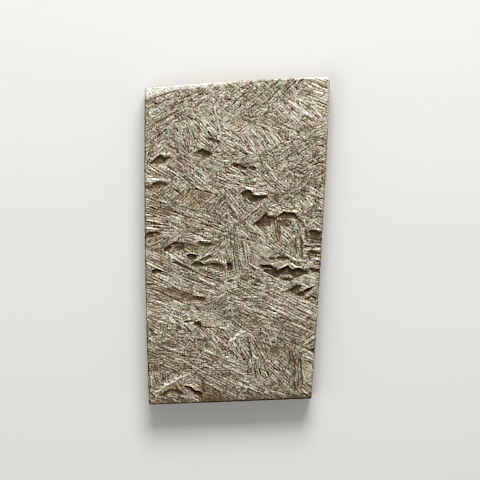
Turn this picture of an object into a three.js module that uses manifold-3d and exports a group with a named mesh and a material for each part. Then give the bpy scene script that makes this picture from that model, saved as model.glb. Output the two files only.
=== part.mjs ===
// Iron meteorite slice: a thin sawn plate of nickel-iron, etched so that crossing bands of
// lamellae stand out as ridges, furrows and leaf-shaped pits.
// Units are millimetres. X runs across the slice, Y along it, and +Z out of its front face.
// The slice lies on its back face, with the origin under the middle of its box.

import * as THREE from 'three';
import { mergeVertices } from 'three/addons/utils/BufferGeometryUtils.js';
import Module from 'manifold-3d';

const wasm = await Module();
wasm.setup();

// Driving dimensions of the plate
const sliceLength = 30.5;
const sliceWidth = 17.3;
const sliceThickness = 3.0;
const edgeRound = 0.16;

// The four sides lean and bow a little, as a saw leaves them
const topLeftDrop = 1.05;
const topLeftInset = 0.06;
const bottomLeftInset = 0.44;
const bottomRightInset = 1.74;
const bottomRightRise = 0.57;
const topBow = 0.12;
const leftBow = 0.2;
const rightBow = 0.14;
const bottomBow = 0.02;
const sharpCorner = 0.26;
const wornCorner = 0.55;
const sideSteps = 6;

// A pit's cutter is a leaf form, raised a little so that the rim meets the face at a slope
const pitSides = 8;
const pitStations = 6;
const pitRaise = 0.22;
const pitLean = 0.38;
const pitReach = 1.13;

// A line's cutter or ridge is a long eight-sided diamond
const lineRaise = 0.25;
const lineReach = 1.12;

// The land around the middle of the back face stays whole, for the slice to lie on
const restRadius = 3.2;

// Edges and triangles finer than these are left out of the finished surface
const shortEdge = 0.03;
const thinTriangle = 0.004;
const mostPasses = 30;

// Vertices nearer to each other than these are one, in a single form and in the finished surface
const formWeld = 1e-5;
const surfaceWeld = shortEdge / 10;

// The fine furrows of a patch, each with its lowest and highest value. Stray is a share of their
// spacing, reach a share of the patch, lean is in degrees, and the rest in millimetres.
const fineFurrow = {
  stray: [-0.25, 0.25],
  reach: [0.4, 0.85],
  lean: [-4, 4],
  breadth: [0.13, 0.2],
  depth: [0.07, 0.12],
};

// Furrows across the sawn sides: how many on a side, how large, and how far each may differ.
// Gap is a share of their spacing, tilt is in degrees, and height is a share of the thickness.
const sideFurrow = {
  onLongSide: 22,
  onShortSide: 9,
  gap: [0.25, 0.75],
  length: [1.05, 2.52],
  breadth: [0.156, 0.312],
  depth: 0.12,
  tilt: [60, 120],
  height: [0.3, 0.7],
};

// Where the random numbers start, and the whole-number step and range that they are made with
const furrowSeed = 7341;
const mixStep = 0x6d2b79f5;
const wordRange = 2 ** 32;

const halfLength = sliceLength / 2;
const halfWidth = sliceWidth / 2;
const frontFace = sliceThickness;
const backFace = 0;
const degree = Math.PI / 180;

// Leaf-shaped pits of the front face: middle, length, breadth, turn, depth and bow
const frontPits = [
  { x: -7.18, y: 7.54, length: 1.95, breadth: 0.62, turn: 16, depth: 0.36, bow: 0.1 },
  { x: -3.2, y: 8.18, length: 1.7, breadth: 0.6, turn: 3, depth: 0.38, bow: -0.1 },
  { x: -2.28, y: 9.38, length: 1.45, breadth: 0.28, turn: -17, depth: 0.22, bow: 0 },
  { x: 0.17, y: 6.96, length: 1.3, breadth: 0.26, turn: -13, depth: 0.26, bow: 0 },
  { x: 1.36, y: 6.76, length: 0.8, breadth: 0.28, turn: -6, depth: 0.24, bow: 0 },
  { x: -7.25, y: 5.22, length: 1.6, breadth: 0.6, turn: -2, depth: 0.36, bow: -0.12 },
  { x: -8.3, y: 4.94, length: 0.8, breadth: 0.2, turn: 0, depth: 0.16, bow: 0 },
  { x: -3.5, y: 4.55, length: 2.5, breadth: 0.34, turn: -4, depth: 0.2, bow: -0.2 },
  { x: 0.92, y: 4.34, length: 1.35, breadth: 0.56, turn: -30, depth: 0.4, bow: 0 },
  { x: 1.78, y: 3.9, length: 1.75, breadth: 0.46, turn: 8, depth: 0.38, bow: 0.06 },
  { x: 3.18, y: 4.4, length: 0.6, breadth: 0.18, turn: 0, depth: 0.16, bow: 0 },
  { x: 2.3, y: 1.82, length: 1.7, breadth: 0.66, turn: 24, depth: 0.36, bow: 0 },
  { x: 4.68, y: 2.34, length: 2.0, breadth: 0.48, turn: -3, depth: 0.36, bow: -0.22 },
  { x: 7.5, y: 0.6, length: 1.5, breadth: 0.62, turn: -8, depth: 0.36, bow: 0 },
  { x: 7.25, y: -0.5, length: 1.3, breadth: 0.24, turn: -4, depth: 0.2, bow: 0 },
  { x: 7.15, y: -1.25, length: 1.4, breadth: 0.36, turn: -14, depth: 0.26, bow: 0 },
  { x: -6.3, y: -0.62, length: 1.2, breadth: 0.34, turn: 36, depth: 0.28, bow: 0 },
  { x: -5.0, y: -0.42, length: 1.9, breadth: 0.5, turn: -12, depth: 0.36, bow: 0 },
  { x: -3.3, y: -0.34, length: 1.5, breadth: 0.26, turn: -8, depth: 0.26, bow: 0 },
  { x: -4.28, y: -1.48, length: 0.95, breadth: 0.5, turn: 5, depth: 0.34, bow: -0.06 },
  { x: -3.2, y: -1.72, length: 1.7, breadth: 0.34, turn: 24, depth: 0.26, bow: 0 },
  { x: -2.15, y: -2.28, length: 2.0, breadth: 0.62, turn: -9, depth: 0.32, bow: -0.1 },
  { x: -0.7, y: -2.3, length: 0.7, breadth: 0.36, turn: 82, depth: 0.3, bow: 0 },
  { x: -7.86, y: -2.6, length: 1.5, breadth: 0.3, turn: -18, depth: 0.28, bow: 0 },
  { x: -7.92, y: 0.62, length: 1.3, breadth: 0.34, turn: 4, depth: 0.3, bow: 0 },
  { x: -5.3, y: -4.85, length: 3.6, breadth: 0.5, turn: -16, depth: 0.18, bow: 0 },
  { x: -3.6, y: -5.34, length: 1.4, breadth: 0.36, turn: -9, depth: 0.28, bow: 0 },
  { x: -3.58, y: -7.7, length: 0.85, breadth: 0.38, turn: -25, depth: 0.3, bow: 0 },
  { x: -2.1, y: -8.02, length: 1.9, breadth: 0.16, turn: 1, depth: 0.14, bow: 0.06 },
  { x: -5.95, y: -13.94, length: 1.9, breadth: 0.3, turn: -3, depth: 0.28, bow: -0.16 },
  { x: -4.1, y: -13.86, length: 1.8, breadth: 0.36, turn: -27, depth: 0.34, bow: 0 },
  { x: 2.8, y: -2.56, length: 1.7, breadth: 0.44, turn: -20, depth: 0.36, bow: 0 },
  { x: 3.7, y: -2.9, length: 1.6, breadth: 0.6, turn: 14, depth: 0.42, bow: 0 },
  { x: 4.75, y: -2.72, length: 1.4, breadth: 0.5, turn: -22, depth: 0.4, bow: 0 },
  { x: 5.76, y: -2.9, length: 1.7, breadth: 0.54, turn: 7, depth: 0.38, bow: -0.08 },
  { x: 4.4, y: -3.48, length: 1.5, breadth: 0.26, turn: -3, depth: 0.24, bow: 0 },
  { x: 7.3, y: -2.69, length: 1.2, breadth: 0.28, turn: -3, depth: 0.24, bow: 0 },
  { x: 5.2, y: -4.46, length: 1.6, breadth: 0.48, turn: 18, depth: 0.36, bow: -0.06 },
  { x: 6.16, y: -4.72, length: 1.5, breadth: 0.36, turn: 28, depth: 0.3, bow: 0 },
  { x: 6.82, y: -5.3, length: 1.2, breadth: 0.42, turn: 14, depth: 0.26, bow: -0.08 },
  { x: 7.15, y: -10.1, length: 0.8, breadth: 0.28, turn: 2, depth: 0.26, bow: 0 },
  { x: 3.15, y: -1.66, length: 0.6, breadth: 0.18, turn: 0, depth: 0.16, bow: 0 },
  { x: 4.42, y: -1.6, length: 0.9, breadth: 0.24, turn: 2, depth: 0.18, bow: 0 },
  { x: 6.09, y: 4.56, length: 0.8, breadth: 0.2, turn: -20, depth: 0.16, bow: 0 },
  { x: 5.02, y: 3.46, length: 0.7, breadth: 0.2, turn: -30, depth: 0.16, bow: 0 },
  { x: 1.6, y: -3.58, length: 1.6, breadth: 0.26, turn: -31, depth: 0.22, bow: 0 },
  { x: 1.7, y: -4.12, length: 0.9, breadth: 0.22, turn: -20, depth: 0.18, bow: 0 },
  { x: -6.55, y: 9.45, length: 0.6, breadth: 0.18, turn: 10, depth: 0.14, bow: 0 },
  { x: -5.7, y: -12.2, length: 0.75, breadth: 0.22, turn: -14, depth: 0.18, bow: 0 },
  { x: 5.0, y: -11.2, length: 0.7, breadth: 0.22, turn: 80, depth: 0.18, bow: 0 },
];

// Furrows of the front face that run on their own, from one end to the other
const frontFurrows = [
  { from: [-8.1, 3.05], to: [-4.6, 2.2], breadth: 0.2, depth: 0.14 },
  { from: [-7.5, 3.2], to: [-4.4, 2.1], breadth: 0.18, depth: 0.12 },
  { from: [-8.3, 1.8], to: [-6.0, 1.3], breadth: 0.2, depth: 0.14 },
  { from: [-3.6, 1.7], to: [-0.9, 0.78], breadth: 0.2, depth: 0.16 },
  { from: [-4.5, 0.92], to: [-2.2, 0.02], breadth: 0.18, depth: 0.14 },
  { from: [-5.4, 0.4], to: [-4.0, -0.05], breadth: 0.14, depth: 0.1 },
  { from: [-5.9, -1.95], to: [-1.5, -3.65], breadth: 0.22, depth: 0.18 },
  { from: [-4.8, -3.1], to: [-2.2, -4.25], breadth: 0.18, depth: 0.12 },
  { from: [-8.4, -3.95], to: [-5.0, -5.7], breadth: 0.2, depth: 0.14 },
  { from: [-8.1, -6.95], to: [-5.4, -7.9], breadth: 0.18, depth: 0.12 },
  { from: [-5.1, -7.6], to: [-4.0, -8.7], breadth: 0.2, depth: 0.14 },
  { from: [3.3, 11.05], to: [5.9, 10.05], breadth: 0.16, depth: 0.12 },
  { from: [6.7, 14.9], to: [8.7, 14.05], breadth: 0.18, depth: 0.14 },
  { from: [6.1, 13.6], to: [8.6, 12.9], breadth: 0.16, depth: 0.1 },
  { from: [-8.0, 9.2], to: [-6.5, 10.35], breadth: 0.16, depth: 0.12 },
  { from: [-8.1, 10.5], to: [-6.4, 11.6], breadth: 0.16, depth: 0.1 },
  { from: [-7.9, 12.95], to: [-5.7, 13.85], breadth: 0.16, depth: 0.1 },
  { from: [4.5, 14.0], to: [5.5, 14.9], breadth: 0.14, depth: 0.1 },
  { from: [-5.4, 13.0], to: [-3.6, 14.0], breadth: 0.14, depth: 0.1 },
  { from: [2.9, 8.15], to: [4.0, 8.95], breadth: 0.14, depth: 0.1 },
  { from: [0.1, 4.1], to: [0.15, 2.5], breadth: 0.14, depth: 0.1 },
  { from: [5.4, 0.4], to: [5.55, -1.2], breadth: 0.2, depth: 0.14 },
  { from: [5.95, 0.4], to: [6.05, -1.3], breadth: 0.16, depth: 0.12 },
  { from: [-0.3, -1.0], to: [-0.05, -3.0], breadth: 0.2, depth: 0.12 },
  { from: [0.45, 0.1], to: [0.75, -1.6], breadth: 0.14, depth: 0.1 },
  { from: [2.0, -0.1], to: [3.6, -0.95], breadth: 0.14, depth: 0.1 },
  { from: [3.9, -7.2], to: [5.4, -8.0], breadth: 0.18, depth: 0.12 },
  { from: [6.3, -6.9], to: [7.6, -7.5], breadth: 0.16, depth: 0.14 },
  { from: [1.0, -8.9], to: [1.4, -10.8], breadth: 0.22, depth: 0.14 },
  { from: [1.6, -11.5], to: [1.7, -12.9], breadth: 0.18, depth: 0.1 },
  { from: [2.05, -11.6], to: [2.3, -12.9], breadth: 0.18, depth: 0.1 },
  { from: [5.4, -10.6], to: [5.7, -14.6], breadth: 0.26, depth: 0.12 },
  { from: [5.95, -10.8], to: [6.0, -13.4], breadth: 0.16, depth: 0.1 },
  { from: [-3.95, -9.0], to: [-3.75, -10.1], breadth: 0.14, depth: 0.1 },
  { from: [-7.0, -12.9], to: [-6.2, -12.3], breadth: 0.14, depth: 0.1 },
  { from: [-3.2, -13.2], to: [-2.9, -15.0], breadth: 0.4, depth: 0.12 },
];

// Ridges of the front face: resistant lamellae and the raised lips above pits
const frontRidges = [
  { from: [-7.0, 7.98], to: [-6.1, 8.02], breadth: 0.22, height: 0.08 },
  { from: [-8.0, 5.78], to: [-6.6, 5.66], breadth: 0.2, height: 0.08 },
  { from: [-3.7, 4.98], to: [-3.0, 4.7], breadth: 0.16, height: 0.08 },
  { from: [-3.75, 2.85], to: [-2.2, 4.2], breadth: 0.14, height: 0.07 },
  { from: [0.8, 4.88], to: [1.6, 4.34], breadth: 0.2, height: 0.09 },
  { from: [1.5, 4.24], to: [2.8, 4.32], breadth: 0.18, height: 0.08 },
  { from: [0.8, 2.35], to: [2.7, 3.75], breadth: 0.14, height: 0.07 },
  { from: [2.6, 2.75], to: [3.0, 2.4], breadth: 0.18, height: 0.08 },
  { from: [3.8, 2.5], to: [4.5, 2.85], breadth: 0.14, height: 0.07 },
  { from: [4.4, 2.82], to: [5.6, 2.5], breadth: 0.18, height: 0.08 },
  { from: [6.3, 1.3], to: [7.1, 1.8], breadth: 0.12, height: 0.07 },
  { from: [6.9, -0.65], to: [7.8, -0.85], breadth: 0.24, height: 0.08 },
  { from: [-8.4, 1.95], to: [-6.9, 1.7], breadth: 0.2, height: 0.07 },
  { from: [-8.5, 1.0], to: [-7.2, 0.98], breadth: 0.18, height: 0.07 },
  { from: [-4.2, 0.05], to: [-2.4, -0.05], breadth: 0.2, height: 0.09 },
  { from: [-6.5, -1.2], to: [-5.0, -1.95], breadth: 0.18, height: 0.08 },
  { from: [-4.1, -1.9], to: [-2.4, -1.15], breadth: 0.16, height: 0.08 },
  { from: [-2.9, -1.9], to: [-2.1, -1.72], breadth: 0.18, height: 0.08 },
  { from: [-2.2, -1.72], to: [-1.0, -2.15], breadth: 0.18, height: 0.08 },
  { from: [-8.6, -2.0], to: [-6.4, -2.9], breadth: 0.16, height: 0.08 },
  { from: [-4.1, -2.65], to: [-1.8, -3.6], breadth: 0.16, height: 0.08 },
  { from: [-3.6, -3.45], to: [-2.0, -4.15], breadth: 0.14, height: 0.07 },
  { from: [-4.3, -4.9], to: [-3.1, -5.2], breadth: 0.16, height: 0.07 },
  { from: [-7.2, -6.85], to: [-5.6, -7.75], breadth: 0.18, height: 0.08 },
  { from: [-4.2, -7.85], to: [-3.0, -8.85], breadth: 0.16, height: 0.07 },
  { from: [-7.6, -13.98], to: [-6.4, -13.5], breadth: 0.18, height: 0.08 },
  { from: [-6.6, -13.4], to: [-5.3, -12.6], breadth: 0.22, height: 0.09 },
  { from: [-4.8, -13.3], to: [-3.4, -13.85], breadth: 0.16, height: 0.07 },
  { from: [-2.1, -11.25], to: [0.9, -12.45], breadth: 0.18, height: 0.09 },
  { from: [-3.1, -11.5], to: [-2.0, -11.85], breadth: 0.14, height: 0.06 },
  { from: [-0.7, -11.05], to: [0.6, -11.55], breadth: 0.16, height: 0.07 },
  { from: [0.3, -12.85], to: [1.0, -13.15], breadth: 0.18, height: 0.08 },
  { from: [4.0, -2.65], to: [4.7, -2.2], breadth: 0.16, height: 0.07 },
  { from: [4.75, -2.2], to: [5.2, -2.6], breadth: 0.18, height: 0.08 },
  { from: [5.2, -2.6], to: [6.0, -2.35], breadth: 0.16, height: 0.07 },
  { from: [1.3, -3.15], to: [1.9, -3.55], breadth: 0.16, height: 0.07 },
  { from: [2.0, -2.55], to: [4.0, -3.7], breadth: 0.14, height: 0.07 },
  { from: [5.8, -4.6], to: [7.1, -4.25], breadth: 0.14, height: 0.06 },
  { from: [3.0, -6.2], to: [4.6, -6.8], breadth: 0.16, height: 0.07 },
  { from: [5.4, -7.85], to: [7.2, -8.55], breadth: 0.16, height: 0.07 },
  { from: [-1.0, -9.2], to: [0.9, -8.5], breadth: 0.5, height: 0.08 },
  { from: [0.6, -0.1], to: [1.0, -2.2], breadth: 0.14, height: 0.07 },
  { from: [6.25, 0.2], to: [6.3, -1.6], breadth: 0.26, height: 0.06 },
  { from: [-1.0, 3.8], to: [0.2, 2.5], breadth: 0.16, height: 0.07 },
  { from: [3.4, 4.9], to: [4.3, 4.3], breadth: 0.16, height: 0.07 },
  { from: [1.3, 5.9], to: [2.3, 5.3], breadth: 0.24, height: 0.07 },
  { from: [6.0, 12.1], to: [7.4, 11.2], breadth: 0.22, height: 0.08 },
  { from: [5.0, 12.6], to: [5.7, 12.2], breadth: 0.24, height: 0.08 },
  { from: [-3.7, 11.0], to: [-2.6, 9.9], breadth: 0.16, height: 0.07 },
  { from: [-2.0, 11.9], to: [-1.6, 9.7], breadth: 0.22, height: 0.06 },
  { from: [-8.2, 11.8], to: [-7.8, 11.4], breadth: 0.18, height: 0.07 },
  { from: [6.1, -10.5], to: [7.2, -11.1], breadth: 0.18, height: 0.07 },
  { from: [3.0, -11.0], to: [3.8, -11.8], breadth: 0.14, height: 0.06 },
];

// Patches where fine lamellae lie side by side: middle, size, turn and how many lines
const frontHatches = [
  { x: -6.6, y: 11.6, across: 3.4, along: 4.4, turn: 29, lines: 13 },
  { x: -2.9, y: 10.7, across: 2.4, along: 3.2, turn: -43, lines: 8 },
  { x: 1.6, y: 13.4, across: 5.4, along: 2.4, turn: 40, lines: 10 },
  { x: 2.0, y: 12.9, across: 5.0, along: 2.6, turn: -46, lines: 9 },
  { x: 6.2, y: 12.0, across: 2.6, along: 2.6, turn: -40, lines: 7 },
  { x: 2.0, y: 9.5, across: 3.2, along: 2.4, turn: -50, lines: 9 },
  { x: 6.6, y: 8.0, across: 3.8, along: 2.4, turn: 18, lines: 9 },
  { x: -4.4, y: 6.2, across: 2.4, along: 3.4, turn: -34, lines: 7 },
  { x: -7.3, y: 6.5, across: 1.2, along: 1.8, turn: -30, lines: 4 },
  { x: 0.5, y: 8.2, across: 1.2, along: 3.2, turn: -18, lines: 4 },
  { x: 0.0, y: 5.9, across: 2.0, along: 2.8, turn: -24, lines: 6 },
  { x: 3.4, y: 5.9, across: 2.0, along: 2.4, turn: -45, lines: 5 },
  { x: -6.6, y: 2.6, across: 1.8, along: 3.4, turn: -20, lines: 5 },
  { x: -0.5, y: 3.4, across: 1.8, along: 2.2, turn: -48, lines: 5 },
  { x: 6.9, y: 3.6, across: 2.2, along: 2.0, turn: -35, lines: 6 },
  { x: 4.3, y: 0.8, across: 1.8, along: 2.2, turn: -38, lines: 6 },
  { x: -0.3, y: -0.6, across: 1.6, along: 2.4, turn: -74, lines: 5 },
  { x: -6.6, y: -3.6, across: 2.2, along: 3.2, turn: -20, lines: 6 },
  { x: -2.4, y: -3.4, across: 2.0, along: 3.0, turn: -20, lines: 5 },
  { x: 1.8, y: -5.4, across: 2.6, along: 3.4, turn: -24, lines: 7 },
  { x: 5.8, y: -6.4, across: 2.2, along: 3.0, turn: -26, lines: 7 },
  { x: -5.2, y: -7.4, across: 2.4, along: 2.8, turn: -34, lines: 6 },
  { x: -6.4, y: -10.6, across: 3.6, along: 3.2, turn: -24, lines: 9 },
  { x: -1.6, y: -9.4, across: 1.8, along: 1.8, turn: -48, lines: 5 },
  { x: 1.8, y: -11.6, across: 2.6, along: 2.6, turn: -64, lines: 8 },
  { x: 5.0, y: -12.0, across: 2.4, along: 2.2, turn: -72, lines: 6 },
  { x: -2.2, y: -12.8, across: 3.2, along: 3.4, turn: -28, lines: 8 },
  { x: 4.2, y: -9.0, across: 1.8, along: 3.0, turn: -20, lines: 4 },
  { x: -3.7, y: 12.9, across: 1.8, along: 2.8, turn: 28, lines: 5 },
  { x: 3.9, y: 7.7, across: 1.8, along: 2.4, turn: -30, lines: 5 },
  { x: -6.4, y: 8.9, across: 1.2, along: 2.0, turn: 34, lines: 3 },
  { x: 1.8, y: 0.8, across: 1.4, along: 2.4, turn: -24, lines: 4 },
  { x: 5.9, y: 5.9, across: 1.4, along: 2.4, turn: -20, lines: 4 },
  { x: -0.9, y: -5.6, across: 2.0, along: 2.6, turn: -22, lines: 5 },
  { x: -6.5, y: -6.1, across: 1.4, along: 3.0, turn: -20, lines: 4 },
  { x: 0.8, y: -7.7, across: 1.4, along: 2.6, turn: -28, lines: 4 },
  { x: 2.8, y: -14.0, across: 1.1, along: 3.0, turn: -20, lines: 4 },
];

// The back face has its own, coarser lamellae and a few pits
const backPits = [
  { x: 5.4, y: 10.8, length: 2.1, breadth: 0.6, turn: 24, depth: 0.32, bow: 0.1 },
  { x: 3.1, y: 12.2, length: 1.5, breadth: 0.4, turn: 8, depth: 0.24, bow: 0 },
  { x: -4.9, y: 9.4, length: 1.9, breadth: 0.55, turn: 20, depth: 0.3, bow: -0.1 },
  { x: -6.6, y: 6.6, length: 1.6, breadth: 0.4, turn: 12, depth: 0.24, bow: 0 },
  { x: 5.8, y: 4.2, length: 1.8, breadth: 0.5, turn: -14, depth: 0.28, bow: 0.08 },
  { x: 6.7, y: 2.6, length: 1.2, breadth: 0.34, turn: 22, depth: 0.22, bow: 0 },
  { x: -5.9, y: -1.6, length: 2.2, breadth: 0.56, turn: 21, depth: 0.32, bow: 0 },
  { x: -4.6, y: -3.1, length: 1.4, breadth: 0.4, turn: 14, depth: 0.24, bow: -0.06 },
  { x: 5.2, y: -4.9, length: 2.4, breadth: 0.6, turn: 24, depth: 0.32, bow: 0.1 },
  { x: 3.7, y: -6.6, length: 1.5, breadth: 0.42, turn: 30, depth: 0.26, bow: 0 },
  { x: -1.8, y: -8.3, length: 1.7, breadth: 0.46, turn: 18, depth: 0.26, bow: 0 },
  { x: -5.8, y: -10.7, length: 2.0, breadth: 0.5, turn: 20, depth: 0.28, bow: -0.08 },
  { x: 3.4, y: -12.1, length: 1.8, breadth: 0.5, turn: 34, depth: 0.28, bow: 0 },
];

const backHatches = [
  { x: -4.6, y: 12.0, across: 3.4, along: 4.0, turn: 22, lines: 9 },
  { x: 1.0, y: 9.6, across: 4.0, along: 4.2, turn: 30, lines: 10 },
  { x: 5.4, y: 7.4, across: 3.4, along: 3.4, turn: -40, lines: 9 },
  { x: -5.4, y: 3.6, across: 3.2, along: 3.6, turn: 40, lines: 8 },
  { x: 5.8, y: -0.8, across: 2.8, along: 3.0, turn: 20, lines: 7 },
  { x: -5.6, y: -6.4, across: 3.6, along: 3.8, turn: 24, lines: 9 },
  { x: 1.2, y: -6.0, across: 2.6, along: 4.2, turn: 24, lines: 7 },
  { x: 0.6, y: -11.6, across: 3.8, along: 3.6, turn: 62, lines: 9 },
  { x: 5.0, y: -9.6, across: 3.0, along: 2.8, turn: 26, lines: 7 },
  { x: -4.4, y: -13.2, across: 2.0, along: 4.0, turn: 20, lines: 6 },
];

// Plain repeatable random numbers, each between the two ends of a range
function randomSource(seed) {
  let state = seed;
  return ([low, high]) => {
    state = (state + mixStep) | 0;
    let mixed = Math.imul(state ^ (state >>> 15), 1 | state);
    mixed = (mixed + Math.imul(mixed ^ (mixed >>> 7), 61 | mixed)) ^ mixed;
    const share = ((mixed ^ (mixed >>> 14)) >>> 0) / wordRange;
    return low + (high - low) * share;
  };
}

// Corners of the outline, clockwise from the top left
const corners = [
  { x: -halfWidth + topLeftInset, y: halfLength - topLeftDrop, round: sharpCorner },
  { x: halfWidth, y: halfLength, round: wornCorner },
  { x: halfWidth - bottomRightInset, y: -halfLength + bottomRightRise, round: sharpCorner },
  { x: -halfWidth + bottomLeftInset, y: -halfLength, round: sharpCorner },
];
const bows = [topBow, rightBow, bottomBow, leftBow];

// A point on the straight line from one corner to the next, and that side's outward normal
function sidePoint(index, share) {
  const start = corners[index];
  const end = corners[(index + 1) % corners.length];
  const run = new THREE.Vector2(end.x - start.x, end.y - start.y);
  const length = run.length();
  run.divideScalar(length);
  return {
    x: start.x + run.x * length * share,
    y: start.y + run.y * length * share,
    normal: new THREE.Vector2(-run.y, run.x),
    run,
    length,
  };
}

// The outline: four bowed sides that meet in rounded corners
function sliceOutline() {
  const shape = new THREE.Shape();
  const start = sidePoint(0, corners[0].round / sidePoint(0, 0).length);
  shape.moveTo(start.x, start.y);
  corners.forEach((corner, index) => {
    const nextIndex = (index + 1) % corners.length;
    const next = corners[nextIndex];
    const middle = sidePoint(index, 0.5);
    const last = sidePoint(index, 1 - next.round / middle.length);
    const onward = sidePoint(nextIndex, next.round / sidePoint(nextIndex, 0).length);
    const pull = middle.normal.multiplyScalar(2 * bows[index]);
    shape.quadraticCurveTo(middle.x + pull.x, middle.y + pull.y, last.x, last.y);
    shape.quadraticCurveTo(next.x, next.y, onward.x, onward.y);
  });
  return shape;
}

function plateGeometry() {
  const plate = new THREE.ExtrudeGeometry(sliceOutline(), {
    depth: sliceThickness - 2 * edgeRound,
    curveSegments: sideSteps,
    bevelEnabled: true,
    bevelSegments: 1,
    bevelThickness: edgeRound,
    bevelSize: edgeRound,
    bevelOffset: -edgeRound,
  });
  plate.translate(0, 0, edgeRound);
  return plate;
}

// A closed mesh as a solid that can be joined and cut
function solidFrom(geometry) {
  const bare = geometry.clone();
  bare.deleteAttribute('normal');
  bare.deleteAttribute('uv');
  const merged = mergeVertices(bare, formWeld);
  const mesh = new wasm.Mesh({
    numProp: 3,
    vertProperties: new Float32Array(merged.attributes.position.array),
    triVerts: new Uint32Array(merged.index.array),
  });
  return new wasm.Manifold(mesh);
}

// A leaf form along X, one unit from its middle to each tip, deepest towards +Y
function leafGeometry() {
  const leaf = new THREE.SphereGeometry(1, pitSides, pitStations);
  leaf.rotateZ(-Math.PI / 2);
  const place = leaf.attributes.position;
  for (let i = 0; i < place.count; i += 1) {
    const x = place.getX(i);
    const taper = Math.sqrt(Math.max(0, 1 - x * x));
    const z = place.getZ(i) * taper;
    const y = place.getY(i) * taper - pitLean * z;
    place.setXYZ(i, x, y, z);
  }
  return leaf;
}

// A pit's cutter on the front face, or on the back face where outward is -1
function pitCutter(pit, face, outward) {
  const leaf = leafGeometry();
  leaf.scale((pit.length / 2) * pitReach, pit.breadth / 2, pit.depth / (1 - pitRaise));
  const place = leaf.attributes.position;
  const halfSpan = pit.length / 2;
  for (let i = 0; i < place.count; i += 1) {
    const along = place.getX(i) / halfSpan;
    place.setY(i, place.getY(i) + pit.bow * along * along);
  }
  if (outward < 0) {
    leaf.rotateX(Math.PI);
  }
  leaf.rotateZ(pit.turn * degree);
  leaf.translate(pit.x, pit.y, face + outward * pit.depth * pitRaise);
  return solidFrom(leaf);
}

// A long diamond that lies along a line on a face, cutting in or standing out
function lineSolid(line, face, lift) {
  const dx = line.to[0] - line.from[0];
  const dy = line.to[1] - line.from[1];
  const length = Math.hypot(dx, dy) * lineReach;
  const diamond = new THREE.OctahedronGeometry(1, 0);
  diamond.scale(length / 2, line.breadth / 2, line.depth ?? line.height);
  diamond.rotateZ(Math.atan2(dy, dx));
  diamond.translate((line.from[0] + line.to[0]) / 2, (line.from[1] + line.to[1]) / 2, face + lift);
  return solidFrom(diamond);
}

// Fine furrows side by side in a patch, broken and shifted so that no two are alike
function hatchLines(patch, random) {
  const lines = [];
  const turn = patch.turn * degree;
  const spacing = patch.across / patch.lines;
  for (let i = 0; i < patch.lines; i += 1) {
    const offset = (i + 0.5 - patch.lines / 2 + random(fineFurrow.stray)) * spacing;
    const length = patch.along * random(fineFurrow.reach);
    const spare = (patch.along - length) / 2;
    const shift = random([-spare, spare]);
    const lean = turn + random(fineFurrow.lean) * degree;
    const x = patch.x + Math.cos(turn) * shift - Math.sin(turn) * offset;
    const y = patch.y + Math.sin(turn) * shift + Math.cos(turn) * offset;
    const half = new THREE.Vector2(Math.cos(lean), Math.sin(lean)).multiplyScalar(length / 2);
    lines.push({
      from: [x - half.x, y - half.y],
      to: [x + half.x, y + half.y],
      breadth: random(fineFurrow.breadth),
      depth: random(fineFurrow.depth),
    });
  }
  return lines;
}

// Furrows across one sawn side, where lamellae run out through it
function sideCutters(index, count, random) {
  const cutters = [];
  for (let i = 0; i < count; i += 1) {
    const share = (i + random(sideFurrow.gap)) / count;
    const spot = sidePoint(index, share);
    const bow = 4 * share * (1 - share) * bows[index];
    const diamond = new THREE.OctahedronGeometry(1, 0);
    const length = random(sideFurrow.length);
    diamond.scale(length / 2, random(sideFurrow.breadth) / 2, sideFurrow.depth);
    diamond.rotateZ(random(sideFurrow.tilt) * degree);
    diamond.rotateX(Math.PI / 2);
    diamond.rotateZ(Math.atan2(spot.run.y, spot.run.x));
    const height = sliceThickness * random(sideFurrow.height);
    diamond.translate(spot.x + spot.normal.x * bow, spot.y + spot.normal.y * bow, height);
    cutters.push(solidFrom(diamond));
  }
  return cutters;
}

function joinAll(solids) {
  return solids.reduce((sum, solid) => sum.add(solid));
}

// The back land is kept whole where the slice rests
function awayFromRest(line) {
  const x = (line.from[0] + line.to[0]) / 2;
  const y = (line.from[1] + line.to[1]) / 2;
  return Math.hypot(x, y) > restRadius;
}

function sliceSolid() {
  const random = randomSource(furrowSeed);
  const ridges = frontRidges.map((ridge) => lineSolid(ridge, frontFace, 0));
  const hatches = frontHatches.flatMap((patch) => hatchLines(patch, random));
  const backLines = backHatches.flatMap((patch) => hatchLines(patch, random)).filter(awayFromRest);
  const lift = (line) => line.depth * lineRaise;
  const cutters = [
    ...frontPits.map((pit) => pitCutter(pit, frontFace, 1)),
    ...backPits.map((pit) => pitCutter(pit, backFace, -1)),
    ...frontFurrows.map((line) => lineSolid(line, frontFace, lift(line))),
    ...hatches.map((line) => lineSolid(line, frontFace, lift(line))),
    ...backLines.map((line) => lineSolid(line, backFace, -lift(line))),
    ...sideCutters(0, sideFurrow.onShortSide, random),
    ...sideCutters(1, sideFurrow.onLongSide, random),
    ...sideCutters(2, sideFurrow.onShortSide, random),
    ...sideCutters(3, sideFurrow.onLongSide, random),
  ];
  return solidFrom(plateGeometry()).add(joinAll(ridges)).subtract(joinAll(cutters));
}

// How far a point is from the nearer of the two flat faces
function offFace(point) {
  return Math.min(Math.abs(point.z - frontFace), Math.abs(point.z - backFace));
}

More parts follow.
